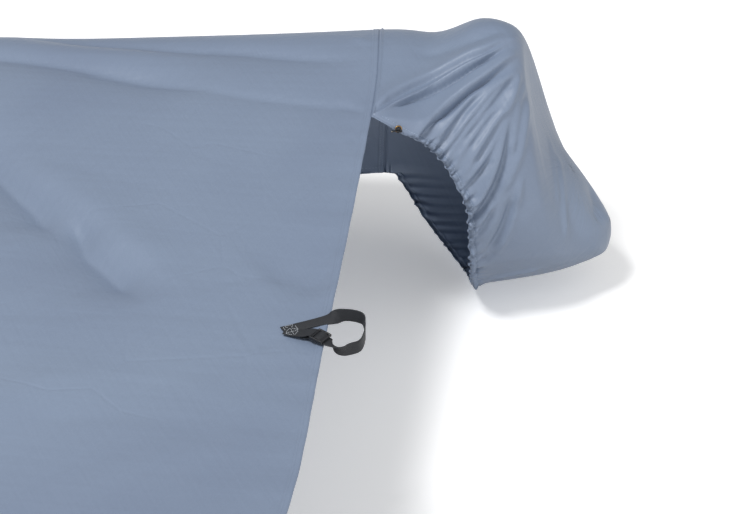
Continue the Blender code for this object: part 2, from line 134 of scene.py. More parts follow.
def length_of(line: np.ndarray) -> float:
    """Length of a line of points."""
    return float(travelled(line)[-1])


def along(line: np.ndarray, distances: np.ndarray) -> np.ndarray:
    """Points at distances along a line of points; other columns of the line follow."""
    total = travelled(line)
    return np.stack([np.interp(distances, total, column) for column in line.T], axis=1)


def fair(points: Sequence[Sequence[float]], count: int) -> np.ndarray:
    """Even, gently curved line that passes close to points.

    Args:
        points: The points, each with any number of values.
        count: Points on the result.

    Returns:
        An array of count rows.
    """
    table = np.asarray(points, dtype=float)
    share = np.linspace(0.0, 1.0, len(table))
    at = np.linspace(0.0, 1.0, count)
    order = min(len(table) - 1, 3 if len(table) < 7 else 5)
    return np.stack([np.polyval(np.polyfit(share, column, order), at) for column in table.T],
                    axis=1)


@dataclass(frozen=True)
class Waves:
    """Waves of cloth along an edge, whose spacing wanders."""

    height: float
    pitch: float                    # their mean spacing
    wander: float                   # how far it wanders, in radians
    pace: float                     # how fast, in radians to the metre
    start: float = 0.0

    def at(self, s: np.ndarray) -> np.ndarray:
        """Height of the waves at distances along the edge."""
        sway = self.wander * np.sin(s * self.pace + self.start)
        return self.height * np.sin(2 * np.pi * s / self.pitch + sway)


@dataclass(frozen=True)
class Ridge:
    """A rounded ridge or groove along an edge."""

    height: float
    place: float                    # distance of its middle from the edge
    width: float                    # half its width

    def at(self, t: np.ndarray) -> np.ndarray:
        """Its height at distances from the edge."""
        return self.height * bell(t - self.place, self.width)


def grid_normals(grid: np.ndarray, closed: bool) -> np.ndarray:
    """Unit normals of a grid of points.

    Args:
        grid: Points as rows by columns by 3.
        closed: Whether the last column joins the first.

    Returns:
        Normals in the grid's shape.
    """
    if closed:
        across = np.roll(grid, -1, axis=1) - np.roll(grid, 1, axis=1)
    else:
        across = np.gradient(grid, axis=1)
    normal = np.cross(np.gradient(grid, axis=0), across)
    return normal / np.maximum(np.linalg.norm(normal, axis=-1, keepdims=True), 1e-12)


def linear(colour: str) -> tuple[float, float, float, float]:
    """Turn an sRGB colour to linear.

    Args:
        colour: Its hex value, such as #8796ab.

    Returns:
        Red, green, blue and an alpha of 1.
    """
    parts = [int(colour[i:i + 2], 16) / 255.0 for i in (1, 3, 5)]
    red, green, blue = (c / 12.92 if c <= 0.04045 else ((c + 0.055) / 1.055) ** 2.4 for c in parts)
    return red, green, blue, 1.0


# ---------------------------------------------------------------- shader nodes
def add_node(tree: Tree, kind: str, settings: Mapping[str, Any] | None = None,
             links: Mapping[str | int, Source] | None = None) -> bpy.types.Node:
    """Add a shader node.

    Args:
        tree: The material's nodes.
        kind: Node type, without its ShaderNode prefix.
        settings: Properties and input values by name; an input may also be given by number.
        links: What to join to this node's inputs, by the input's name or number.

    Returns:
        The new node.
    """
    node = tree.nodes.new("ShaderNode" + kind)
    for name, value in (settings or {}).items():
        if isinstance(name, str) and hasattr(node, name):
            setattr(node, name, value)
        else:
            node.inputs[name].default_value = value
    for name, source in (links or {}).items():
        socket = source.outputs[0] if isinstance(source, bpy.types.Node) else source
        tree.links.new(socket, node.inputs[name])
    return node


@dataclass
class Pattern:
    """What a finish's pattern gives: where it lies between tones and roughnesses, and reliefs."""

    tone: Source | None = None
    grain: Source | None = None
    reliefs: Sequence[tuple[Source, float]] = ()        # height and depth in mm


@dataclass(frozen=True)
class Finish:
    """Base of the finishes: makes a material once and hands it out."""

    name: str
    tone: str
    second_tone: str
    roughness: float
    rough_spread: tuple[float, float] = (0.0, 0.0)      # added to it over the pattern
    metallic: float = 0.0
    ior: float = 1.5
    specular: float = 0.5
    made: ClassVar[dict[str, bpy.types.Material]] = {}

    def material(self) -> bpy.types.Material:
        """The finish's material, made on first use."""
        if self.name not in self.made:
            material = bpy.data.materials.new(self.name)
            material.use_nodes = True
            tree = material.node_tree
            self.lay(tree, tree.nodes["Principled BSDF"])
            self.made[self.name] = material
        return self.made[self.name]

    def pattern(self, tree: Tree) -> Pattern:
        """The pattern of a plain finish."""
        return Pattern()

    def lay(self, tree: Tree, shader: bpy.types.Node) -> None:
        """Set the shader by the finish's values and pattern.

        Args:
            tree: The material's nodes.
            shader: Its main shader, which the pattern joins.
        """
        for name, value in (("Base Color", linear(self.tone)), ("Roughness", self.roughness),
                            ("Metallic", self.metallic), ("IOR", self.ior),
                            ("Specular IOR Level", self.specular)):
            shader.inputs[name].default_value = value
        pattern = self.pattern(tree)
        if pattern.tone:
            colour = add_node(tree, "Mix", {"data_type": "RGBA", 6: linear(self.tone),
                                            7: linear(self.second_tone)}, {0: pattern.tone})
            tree.links.new(colour.outputs[2], shader.inputs["Base Color"])
        if pattern.grain:
            low, high = (self.roughness + step for step in self.rough_spread)
            rough = add_node(tree, "MapRange", {"To Min": low, "To Max": high},
                             {"Value": pattern.grain})
            tree.links.new(rough.outputs[0], shader.inputs["Roughness"])
        under: dict[str, bpy.types.NodeSocket] = {}
        for height, depth in pattern.reliefs:
            bump = add_node(tree, "Bump", {"Distance": depth * MM}, {"Height": height, **under})
            under = {"Normal": bump.outputs[0]}
        for name, socket in under.items():
            tree.links.new(socket, shader.inputs[name])


@dataclass(frozen=True)
class CoatedPolyester(Finish):
    """Plain-weave polyester with an acrylic coating, calendered.

    The coating gives the cloth a broad satin light on its folds; the weave shows as a fine grain.
    """

    name: str = "coated_polyester_plain_weave"
    tone: str = "#727f95"
    second_tone: str = "#7b899e"
    roughness: float = 0.44
    rough_spread: tuple[float, float] = (-0.04, 0.06)
    specular: float = 0.48
    thread_mm: float = 1.5          # real threads are 0.4 mm, too fine to show
    thread_relief_mm: float = 0.05
    grain_mm: float = 2.381         # specks in the coating
    grain_share: float = 0.35
    fading_mm: float = 434.8        # patches that have faded alike
    fading_range: tuple[float, float] = (0.45, 0.90)
    crumple_mm: float = 38.0
    crumple_relief_mm: float = 0.55
    packing_mm: float = 170.0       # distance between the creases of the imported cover
    packing_relief_mm: float = 0.40
    packing_width_mm: float = 5.0
    packed_range: tuple[float, float] = (0.46, 0.62)    # the patches that still show them
    # Fine streaks of drawn cloth: direction, length, width and relief.
    streaks: tuple[tuple[float, float, float, float], ...] = (
        (118.0, 150.0, 13.0, 1.05), (62.0, 110.0, 9.0, 0.60), (3.0, 190.0, 21.0, 1.00))

    def pattern(self, tree: Tree) -> Pattern:
        """The weave, the soft crumple and creases of packed cloth, and its faded patches.

        Args:
            tree: The material's nodes.

        Returns:
            The pattern.
        """
        place = add_node(tree, "TexCoord").outputs["Object"]
        flat = add_node(tree, "Attribute", {"attribute_name": FLAT_COORDS}).outputs["Vector"]
        turn = math.pi / (self.thread_mm * MM)
        parts = add_node(tree, "SeparateXYZ", links={0: flat})
        waves = []
        for axis in ("X", "Y"):
            angle = add_node(tree, "Math", {"operation": "MULTIPLY", 1: turn},
                             {0: parts.outputs[axis]})
            waves.append(add_node(tree, "Math", {"operation": "SINE"}, {0: angle}))
        weave = add_node(tree, "Math", {"operation": "MULTIPLY"}, {0: waves[0], 1: waves[1]})
        cloud = add_node(tree, "TexNoise", {"Scale": 1.0 / (self.fading_mm * MM), "Detail": 3.0},
                         {"Vector": place})
        grain = add_node(tree, "TexNoise", {"Scale": 1.0 / (self.grain_mm * MM)}, {"Vector": place})
        blend = add_node(tree, "Math", {"operation": "MULTIPLY_ADD", 1: self.grain_share},
                         {0: grain, 2: cloud})
        spread = add_node(tree, "MapRange", {"From Min": self.fading_range[0],
                                             "From Max": self.fading_range[1]},
                          {"Value": blend})
        crumple = add_node(tree, "TexNoise", {"Scale": 1.0 / (self.crumple_mm * MM),
                                              "Roughness": 0.45, "Distortion": 0.4},
                           {"Vector": place})
        net = add_node(tree, "TexVoronoi", {"feature": "DISTANCE_TO_EDGE",
                                            "Scale": 1.0 / (self.packing_mm * MM)},
                       {"Vector": flat})
        fold = add_node(tree, "MapRange", {"interpolation_type": "SMOOTHSTEP",
                                           "From Max": self.packing_width_mm / self.packing_mm},
                        {"Value": net})
        patchy = add_node(tree, "MapRange", {"From Min": self.packed_range[0],
                                             "From Max": self.packed_range[1]},
                          {"Value": cloud})
        packed = add_node(tree, "Math", {"operation": "MULTIPLY"}, {0: fold, 1: patchy})
        reliefs = [(crumple, self.crumple_relief_mm), (packed, self.packing_relief_mm)]
        for turned, length, width, relief in self.streaks:
            drawn = add_node(tree, "Mapping", {"vector_type": "TEXTURE",
                                               "Rotation": (0.0, 0.0, math.radians(turned)),
                                               "Scale": (length * MM, width * MM, 1.0)},
                             {"Vector": flat})
            streak = add_node(tree, "TexNoise", {"Scale": 1.0, "Detail": 1.5}, {"Vector": drawn})
            reliefs.append((streak, relief))
        reliefs.append((weave, self.thread_relief_mm))
        return Pattern(spread, grain, reliefs)


@dataclass(frozen=True)
class SewingThread(Finish):
    """Bonded polyester thread, twisted: small and slightly glossy."""

    name: str = "bonded_polyester_thread"
    tone: str = "#9fb0c4"
    second_tone: str = "#909fb1"
    roughness: float = 0.55
    twist_mm: float = 0.5
    twist_relief_mm: float = 0.08

    def pattern(self, tree: Tree) -> Pattern:
        """The twist of the thread.

        Args:
            tree: The material's nodes.

        Returns:
            The pattern.
        """
        place = add_node(tree, "TexCoord").outputs["Object"]
        twist = add_node(tree, "TexNoise", {"Scale": 1.0 / (self.twist_mm * MM)}, {"Vector": place})
        return Pattern(twist, None, [(twist, self.twist_relief_mm)])


@dataclass(frozen=True)
class WovenWebbing(Finish):
    """Polypropylene webbing, flat woven: black with low ribs across, a dull sheen on its faces, and
    shade painted into the grooves of its weave.
    """

    name: str = "polypropylene_webbing_woven"
    # The darker tone is painted shade in the weave's grooves; the lighter one is a painted
    # highlight on the rib tops.
    tone: str = "#17191d"
    second_tone: str = "#2b2e34"
    roughness: float = 0.62
    rib_mm: float = 1.3             # real picks are 0.9 mm apart, too fine to show
    rib_skew: float = 0.6
    rib_relief_mm: float = 0.12
    end_pitch: float = 0.7          # warp ends to each rib
    end_share: float = 0.5          # their height, as a share of a rib's

    def pattern(self, tree: Tree) -> Pattern:
        """The woven ribs and the warp ends across them, with shade painted darker in their grooves
        and the rib tops painted lighter.

        Args:
            tree: The material's nodes.

        Returns:
            The pattern.
        """
        flat = add_node(tree, "Attribute", {"attribute_name": FLAT_COORDS}).outputs["Vector"]
        parts = add_node(tree, "SeparateXYZ", links={0: flat})
        turn = 2.0 * math.pi / (self.rib_mm * MM)
        skew = add_node(tree, "Math", {"operation": "MULTIPLY_ADD", 1: self.rib_skew},
                        {0: parts.outputs["Y"], 2: parts.outputs["X"]})
        waves = []
        for place, pitch in ((skew, turn), (parts.outputs["Y"], turn * self.end_pitch)):
            angle = add_node(tree, "Math", {"operation": "MULTIPLY", 1: pitch}, {0: place})
            waves.append(add_node(tree, "Math", {"operation": "SINE"}, {0: angle}))
        both = add_node(tree, "Math", {"operation": "MULTIPLY_ADD", 1: self.end_share},
                        {0: waves[1], 2: waves[0]})
        # Painted shade and highlight: the tone follows the relief, darker where the weave is low
        # and lighter on the rib tops.
        most = 1.0 + self.end_share
        share = add_node(tree, "MapRange", {"From Min": -most, "From Max": most},
                         {"Value": both})
        return Pattern(share, None, [(both, self.rib_relief_mm)])


@dataclass(frozen=True)
class MouldedAcetal(Finish):
    """Acetal, injection moulded: near black, with a fine spark texture that softens its shine."""

    name: str = "acetal_injection_moulded"
    tone: str = "#17181b"
    second_tone: str = "#24262b"
    roughness: float = 0.36
    rough_spread: tuple[float, float] = (-0.06, 0.10)
    ior: float = 1.48
    spark_mm: float = 0.5
    spark_relief_mm: float = 0.03

    def pattern(self, tree: Tree) -> Pattern:
        """The spark texture.

        Args:
            tree: The material's nodes.

        Returns:
            The pattern.
        """
        place = add_node(tree, "TexCoord").outputs["Object"]
        spark = add_node(tree, "TexNoise", {"Scale": 1.0 / (self.spark_mm * MM), "Detail": 3.0},
                         {"Vector": place})
        return Pattern(spark, spark, [(spark, self.spark_relief_mm)])


@dataclass(frozen=True)
class RolledBrass(Finish):
    """Brass eyelet, pressed and lacquered: warm glints on a dulled ring."""

    name: str = "brass_pressed_lacquered"
    tone: str = "#c9a063"
    second_tone: str = "#6d5b45"
    roughness: float = 0.30
    rough_spread: tuple[float, float] = (-0.05, 0.20)
    metallic: float = 1.0
    dulling_mm: float = 1.4286      # grain of the dulled spots

    def pattern(self, tree: Tree) -> Pattern:
        """The dulling of the metal.

        Args:
            tree: The material's nodes.

        Returns:
            The pattern.
        """
        place = add_node(tree, "TexCoord").outputs["Object"]
        dull = add_node(tree, "TexNoise", {"Scale": 1.0 / (self.dulling_mm * MM), "Detail": 3.0},
                        {"Vector": place})
        return Pattern(dull, dull)


@dataclass(frozen=True)
class BraidedCord(Finish):
    """Elastic cord in a braided polyester sleeve: black, with the crossings of its braid and shade
    painted darker in the gaps between them.
    """

    name: str = "elastic_cord_braided"
    tone: str = "#2c2e34"
    # The darker second tone is painted shade in the gaps of the braid.
    second_tone: str = "#121316"
    roughness: float = 0.58
    braid_mm: float = 1.1
    braid_relief_mm: float = 0.15
    painted_gap_shade_from: float = 0.8           # distance from a crossing, in its size, that is all gap

    def pattern(self, tree: Tree) -> Pattern:
        """The braid, with shade painted darker in the gaps between its crossings.

        Args:
            tree: The material's nodes.

        Returns:
            The pattern.
        """
        place = add_node(tree, "TexCoord").outputs["Object"]
        braid = add_node(tree, "TexVoronoi", {"Scale": 1.0 / (self.braid_mm * MM)},
                         {"Vector": place}).outputs["Distance"]
        # Painted shade: the tone darkens from each crossing out into the gaps between them.
        share = add_node(tree, "MapRange", {"From Max": self.painted_gap_shade_from}, {"Value": braid})
        height = add_node(tree, "Math", {"operation": "SUBTRACT", 0: 1.0}, {1: braid})
        return Pattern(share, None, [(height, self.braid_relief_mm)])


@dataclass(frozen=True)
class CutRubber(Finish):
    """Natural rubber strands, cut through: pale specks at the cord's end, with shade painted darker
    between them.
    """

    name: str = "natural_rubber_cut"
    tone: str = "#b9b2a2"
    # The darker second tone is painted shade in the gaps between the strands.
    second_tone: str = "#6f6a60"
    roughness: float = 0.6
    strand_mm: float = 0.6

    def pattern(self, tree: Tree) -> Pattern:
        """The cut strands, and shade painted darker in the gaps between them.

        Args:
            tree: The material's nodes.

        Returns:
            The pattern.
        """
        place = add_node(tree, "TexCoord").outputs["Object"]
        # Painted shade: the tone darkens from each strand out into the gaps between them.
        return Pattern(add_node(tree, "TexVoronoi", {"Scale": 1.0 / (self.strand_mm * MM)},
                                {"Vector": place}).outputs["Distance"])


@dataclass(frozen=True)
class OpalFloor(Finish):
    """Opal acrylic shooting table, cast and lit from below: plain white, with faint shadows."""

    name: str = "opal_acrylic_cast"
    tone: str = "#ffffff"
    second_tone: str = "#ffffff"
    roughness: float = 0.9
    specular: float = 0.1
    glow: float = 0.25

    def lay(self, tree: Tree, shader: bpy.types.Node) -> None:
        """Set the shader and its light from below.

        Args:
            tree: The material's nodes.
            shader: Its main shader.
        """
        super().lay(tree, shader)
        shader.inputs["Emission Color"].default_value = linear(self.tone)
        shader.inputs["Emission Strength"].default_value = self.glow


CLOTH_FINISH = CoatedPolyester()
THREAD_FINISH = SewingThread()
PALE_THREAD_FINISH = SewingThread("bonded_polyester_thread_pale", "#c3c8cf", "#b0b5bb")
WEBBING_FINISH = WovenWebbing()
BUCKLE_FINISH = MouldedAcetal()
BRASS_FINISH = RolledBrass()
CORD_FINISH = BraidedCord()
RUBBER_FINISH = CutRubber()


# ---------------------------------------------------------------- meshes
def link_mesh(name: str, shape: Shape, finish: Finish,
              flat: np.ndarray | None = None) -> bpy.types.Object:
    """Make an object from a shape.

    Args:
        name: The piece's name.
        shape: Its points and faces.
        finish: What it is finished in.
        flat: Place of each vertex in the flat cloth, in metres.

    Returns:
        The linked object.
    """
    points, faces = shape
    mesh = bpy.data.meshes.new(name)
    mesh.from_pydata(points.tolist(), [], faces)
    mesh.polygons.foreach_set("use_smooth", [True] * len(mesh.polygons))
    if flat is not None:
        values = np.zeros((len(points), 3), dtype=np.float32)
        values[:, :2] = flat
        mesh.attributes.new(FLAT_COORDS, "FLOAT_VECTOR", "POINT").data.foreach_set(
            "vector", values.ravel())
    mesh.update()
    obj = bpy.data.objects.new(name, mesh)
    obj.data.materials.append(finish.material())
    bpy.context.scene.collection.objects.link(obj)
    return obj


def enter(piece: bpy.types.Object, node: str = "") -> bpy.types.Object:
    """Enter a piece in the frame.

    Args:
        piece: The piece, which rides on the cover's one body.
        node: The node that it stands in for, if it does.

    Returns:
        The piece.
    """
    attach(piece, BODY)
    if node:
        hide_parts(node)
    return piece


def quads(rows: int, columns: int, closed: bool, start: int = 0, flip: bool = False) -> list:
    """Faces of a grid of vertices.

    Args:
        rows: Rows of vertices.
        columns: Vertices in a row.
        closed: Whether the last column joins the first.
        start: Number of the first vertex.
        flip: Whether the faces look the other way.

    Returns:
        Four vertex numbers for each face.
    """
    number = np.arange(rows * columns).reshape(rows, columns) + start
    right = np.roll(number, -1, axis=1)
    a, b, c, d = number[:-1], right[:-1], right[1:], number[1:]
    if not closed:
        a, b, c, d = a[:, :-1], b[:, :-1], c[:, :-1], d[:, :-1]
    order = (a, d, c, b) if flip else (a, b, c, d)
    return np.stack(order, axis=-1).reshape(-1, 4).tolist()


def capped_quads(rows: int, columns: int) -> list:
    """Faces of a tube of rings of vertices, with a cap over each end.

    Args:
        rows: Number of rings.
        columns: Vertices in a ring.

    Returns:
        Vertex numbers for each face.
    """
    end = (rows - 1) * columns
    caps = [tuple(range(columns - 1, -1, -1)), tuple(range(end, end + columns))]
    return quads(rows, columns, True) + caps


def cloth_sheet(name: str, grid: np.ndarray, flat: np.ndarray, thickness: float,
                closed: bool = False) -> bpy.types.Object:
    """Cloth as a thin closed sheet on a grid of points.

    Args:
        name: The piece's name.
        grid: Points of the cloth's outer face, rows by columns by 3.
        flat: Their places in the flat cloth, rows by columns by 2.
        thickness: The cloth's thickness, put on the inner side.
        closed: Whether the columns run round in a ring that ends in a tip at the last row.

    Returns:
        The linked object.
    """
    rows, columns = grid.shape[:2]
    normal = grid_normals(grid, closed)
    outer, inner = grid.reshape(-1, 3), (grid - normal * thickness).reshape(-1, 3)
    count = rows * columns
    faces = quads(rows, columns, closed, 0, True) + quads(rows, columns, closed, count, False)
    points = np.concatenate([outer, inner])
    places = np.concatenate([flat.reshape(-1, 2)] * 2)
    rim = list(range(columns))
    if closed:
        end = (rows - 1) * columns
        tips = np.stack([grid[-1].mean(axis=0), inner[end:].mean(axis=0)])
        points = np.concatenate([points, tips])
        places = np.concatenate([places, flat[-1].mean(axis=0)[None].repeat(2, axis=0)])
        for i in range(columns):
            j = (i + 1) % columns
            faces.append((2 * count, end + j, end + i))
            faces.append((2 * count + 1, count + end + i, count + end + j))
        loop = rim
    else:
        loop = (rim + [i * columns + columns - 1 for i in range(1, rows)]
                + [(rows - 1) * columns + i for i in range(columns - 2, -1, -1)]
                + [i * columns for i in range(rows - 2, 0, -1)])
    for i, here in enumerate(loop):
        there = loop[(i + 1) % len(loop)]
        faces.append((here, there, count + there, count + here))
    return link_mesh(name, (points, faces), CLOTH_FINISH, places)


def joined(parts: Sequence[Shape]) -> Shape:
    """Join several shapes into one.

    Args:
        parts: The shapes.

    Returns:
        One shape of them all.
    """
    points, faces, start = [], [], 0
    for some, others in parts:
        points.append(some)
        faces.extend([tuple(v + start for v in face) for face in others])
        start += len(some)
    return np.concatenate(points), faces


@dataclass(frozen=True)
class LockStitch:
    """A machine's lock stitch: spacing, visible length and radius of the thread."""

    pitch: float
    length: float
    radius: float
    sides: int = 5
    # Rings of a stitch: place along it as a share of its length, and size and height in radii.
    rings: tuple[tuple[float, float, float], ...] = (
        (-0.5, 0.2, -0.5), (-0.3, 0.9, 0.45), (0.3, 0.9, 0.45), (0.5, 0.2, -0.5))

    def row(self, line: np.ndarray, normals: np.ndarray) -> Shape:
        """A row of stitches.

        Args:
            line: Points of the seam line on the cloth.
            normals: The cloth's outward normal at each.

        Returns:
            The stitches.
        """
        both = np.concatenate([line, normals], axis=1)
        middles = np.arange(self.pitch, length_of(line) - self.pitch, self.pitch)
        at = [along(both, middles + share * self.length) for share, _, _ in self.rings]
        ahead = at[-1][:, :3] - at[0][:, :3]
        ahead /= np.linalg.norm(ahead, axis=1, keepdims=True)
        up = at[1][:, 3:]
        side = np.cross(ahead, up)
        turn = np.linspace(0.0, 2.0 * np.pi, self.sides, endpoint=False)[None, :, None]
        points = []
        for place, (_, size, lift) in zip(at, self.rings):
            centre = place[:, :3] + up * (lift * self.radius)
            points.append(centre[:, None] + side[:, None] * (np.cos(turn) * self.radius * size)
                          + up[:, None] * (np.sin(turn) * self.radius * size))
        one = len(self.rings) * self.sides
        caps = [tuple(range(self.sides)), tuple(range(one - 1, one - 1 - self.sides, -1))]
        pattern = quads(len(self.rings), self.sides, True) + caps
        faces = [tuple(v + i * one for v in face) for i in range(len(middles))
                 for face in pattern]
        return np.stack(points, axis=1).reshape(-1, 3), faces


HEM_STITCH = LockStitch(0.0046, 0.0034, 0.00034)
DROP_STITCH = LockStitch(0.0060, 0.0042, 0.00040)
CHANNEL_STITCH = LockStitch(0.0048, 0.0034, 0.00034)
BOX_STITCH = LockStitch(0.0026, 0.0020, 0.00042)


# ---------------------------------------------------------------- the form under the cloth
@dataclass(frozen=True)
class BoatForm:
    """Shape that the boat gives the cloth: deck, hull tops and where the seams lie."""

    hull_y: float = 0.77            # the hull's axis from the centre line
    hull_r: float = 0.216           # radius of the cover round it
    hull_z: float = -0.15           # its height at the stern seam
    stern_x: float = 1.71           # the aft hem and the stern seams
    bow_x: float = -1.45            # the forward hem and the bow seams
    stern_slope: float = 0.110      # rise of the axis aft, and how fast that grows
    stern_bend: float = 0.053
    bow_rise_x: float = -0.60       # where the axis starts to rise to the bow, and how fast
    bow_rise: float = 0.160
    bow_taper_x: float = -0.90      # where the hull starts to narrow, and how fast
    bow_taper: float = 0.070
    corner_y: float = 0.565         # the panel's free corner from the centre line
    hem_angle: float = math.radians(125.0)      # the outboard hem, from the hull's top
    seam_skew: float = 0.020        # the stern seam leans forward this much going outboard,
    skew_from: float = -43.0        # from this angle
    skew_over: float = 90.0         # and over this many degrees
    hem_bulge: float = 0.008        # the aft hem to port bows out by this much
    deck_bow_lift: float = 0.075    # rise of the deck's middle to the bow

    def hull_height(self, x: np.ndarray) -> np.ndarray:
        """Height of the hull's axis.

        Args:
            x: Places along the boat.

        Returns:
            Heights, in that shape.
        """
        aft = np.maximum(x - self.stern_x, -self.stern_slope / (2.0 * self.stern_bend))
        bow = np.maximum(self.bow_rise_x - x, 0.0)
        return (self.hull_z + self.stern_slope * aft + self.stern_bend * aft * aft
                + self.bow_rise * bow * bow)

    def hull_radius(self, x: np.ndarray) -> np.ndarray:
        """Radius of the cover round a hull."""
        return self.hull_r - self.bow_taper * np.maximum(self.bow_taper_x - x, 0.0) ** 2

    def deck_middle(self, x: np.ndarray) -> np.ndarray:
        """Height of the deck panel on the centre line."""
        return self.deck_bow_lift * ease((self.bow_rise_x - x) / (self.bow_rise_x - self.bow_x))

    def lean(self, x: np.ndarray) -> np.ndarray:
        """Angle from the hull's top to where the deck panel leaves the hull."""
        rise = self.hull_height(x) + self.hull_radius(x) - self.deck_middle(x)
        return np.arctan2(2.0 * rise, self.hull_y)

    def deck_edge(self, x: np.ndarray) -> np.ndarray:
        """Distance from the centre line where the deck panel meets the hull."""
        return self.hull_y - self.hull_radius(x) * np.sin(self.lean(x))

    def deck_profile(self, x: np.ndarray, y: np.ndarray) -> np.ndarray:
        """Height of the stretched deck panel.

        Args:
            x: Places along the boat.
            y: Distances from its centre line, of the same shape.

        Returns:
            Heights, in that shape.
        """
        angle = self.lean(x)
        reach = self.deck_edge(x)
        top = self.hull_height(x) + self.hull_radius(x) * np.cos(angle)
        middle = self.deck_middle(x)
        t = np.abs(y) / reach
        return (middle + (top - middle) * t * t * (3.0 - 2.0 * t)
                + reach * np.tan(angle) * t * t * (t - 1.0))

    def skew(self, angle: np.ndarray) -> np.ndarray:
        """How far forward of its line the stern seam lies at an angle round the hull."""
        return self.seam_skew * ease((np.degrees(angle) - self.skew_from) / self.skew_over)


FORM = BoatForm()


@dataclass(frozen=True)
class Crease:
    """A fold along a line: its height, its half width on either side and how its ends fade."""

    line: tuple[tuple[float, float], ...]
    height: float
    left: float
    right: float
    fade: float = 0.25
    point: float = 0.0              # 0 rounded to 1 pointed, like a pinched fold

    def near(self, places: np.ndarray, path: np.ndarray, facing: np.ndarray) -> np.ndarray:
        """Height that the fold adds.

        Args:
            places: Points of the cloth, n by 3.
            path: The fold's line on the cloth as points, m by 3.
            facing: The cloth's normal at each place, n by 3.

        Returns:
            A height for each place.
        """
        best = np.full(len(places), np.inf)
        signed = np.zeros(len(places))
        share = np.zeros(len(places))
        for k, step in enumerate(np.diff(path, axis=0)):
            size = float(step @ step)
            if size < 1e-12:
                continue
            away = places - path[k]
            t = np.clip(away @ step / size, 0.0, 1.0)
            away = away - t[:, None] * step
            gap = np.linalg.norm(away, axis=1)
            nearer = gap < best
            best = np.where(nearer, gap, best)
            sign = np.sign(np.einsum("ij,ij->i", np.cross(facing, step[None]), away))
            signed = np.where(nearer, sign, signed)
            share = np.where(nearer, (k + t) / (len(path) - 1), share)
        width = np.where(signed > 0.0, self.left, self.right)
        ends = ease(share / self.fade) * ease((1.0 - share) / self.fade)
        return self.height * ends * np.exp(-(best / width) ** (2.0 - self.point))


def creases(table: Sequence[tuple], units: tuple[float, float]) -> tuple[Crease, ...]:
    """Creases from a table.

    Args:
        table: A row for each: line, height and half widths in mm, and how its ends fade.
        units: What the two numbers of a line's points are counted in.

    Returns:
        The creases.
    """
    return tuple(
        Crease(tuple((first * units[0], second * units[1]) for first, second in line),
               height * MM, left * MM, right * MM, *ends)
        for line, height, left, right, *ends in table)


def soften(heights: np.ndarray) -> np.ndarray:
    """Blur a grid a little, so that a narrow fold doesn't step from row to row.

    Args:
        heights: Heights by row and column.

    Returns:
        The blurred heights.
    """
    for axis in (0, 1):
        count = heights.shape[axis]
        wide = np.pad(heights, [(1, 1) if side == axis else (0, 0) for side in (0, 1)], "edge")
        heights = (wide.take(range(count), axis) + wide.take(range(2, count + 2), axis)
                   + 2.0 * heights) / 4.0
    return heights


# ---------------------------------------------------------------- main panel
# Folds of the panel: each one's line as X and Y, its height and its half widths on either side,
# all in mm; how its ends fade and how pointed it is.
PANEL_CREASES = creases((
    # Along the foot of the hull, drawn from the corner: long pinched hollows.
    (((700, 787), (896, 777), (1077, 764), (1213, 731), (1344, 688),
      (1448, 647)), -19.5, 38, 38, 0.25, 0.9),
    (((1197, 720), (1344, 680), (1495, 628), (1598, 604), (1688, 583)), -5, 14, 24, 0.15, 0.9),
    (((1060, 862), (1150, 846), (1262, 820), (1388, 784), (1480, 767), (1614, 731),
      (1690, 713)), -14.5, 26, 32, 0.3, 0.9),
    (((1650, 796), (1699, 762)), 3.4, 10, 8, 0.3, 0.4),
    (((1650, 604), (1678, 589), (1706, 572)), -4, 5, 8, 0.3, 0.6),
    (((1683, 496), (1702, 530)), -2.6, 6, 9, 0.25, 0.6),
    # The slack that runs from amidships to the strap, in two lobes.
    (((1000, 612), (1088, 481), (1150, 406), (1197, 348), (1226, 314), (1254, 268),
      (1282, 216)), -35, 44, 60, 0.25, 0.9),
    (((1272, 306), (1302, 258), (1318, 224), (1332, 191), (1354, 164), (1387, 127), (1413, 90),
      (1447, 34)), -29, 32, 54, 0.25, 0.9),
    (((1124, 492), (1220, 388), (1307, 306), (1366, 233), (1423, 167),
      (1461, 85)), 8, 45, 26, 0.25),
    # Slack beside the strap, and the pucker at its stitching.
    (((1595, 128), (1616, 140), (1639, 141), (1661, 130), (1685, 108),
      (1706, 84)), -7.2, 85, 36, 0.3),
    (((1620, -62), (1636, -41), (1652, -20)), -2.8, 4, 7, 0.3, 0.5),
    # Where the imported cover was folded.
    (((1100, -8), (1249, -8), (1333, -3), (1413, 12), (1477, 14), (1558, 10),
      (1646, 3)), -1, 26, 13, 0.2),
    (((1160, 452), (1312, 391), (1462, 329)), -0.7, 16, 10, 0.2),
    (((1435, 142), (1504, 80), (1479, -23)), 1.2, 9, 7, 0.3),
    (((1504, 80), (1580, 120), (1640, 130)), -1, 9, 8, 0.3),
    (((1300, -200), (1420, -150), (1560, -150)), 0.9, 20, 12, 0.3),
    (((1343, -293), (1465, -242), (1619, -288)), -1.2, 26, 18, 0.3),
    (((1429, -448), (1524, -346), (1661, -310)), 1.4, 32, 22, 0.3),
    (((1529, -148), (1603, -190), (1700, -183)), 1.2, 24, 18, 0.3),
    # The drawn lines of the other three corners.
    (((950, -800), (1250, -745), (1500, -690), (1680, -640)), -7, 34, 26, 0.25, 0.5),
    (((1050, -690), (1330, -640), (1560, -610), (1690, -590)), -5, 30, 22, 0.25, 0.5),
    (((-200, 800), (-550, 760), (-900, 690)), -8, 50, 50, 0.3, 0.4),
    (((-350, 580), (-650, 620), (-1000, 640)), -7, 60, 50, 0.3, 0.4),
    (((-250, -780), (-600, -750), (-950, -690)), -8, 60, 60, 0.3, 0.4),
    (((-300, -520), (-650, -590), (-1020, -630)), -7, 60, 60, 0.3, 0.4),
), (MM, MM))


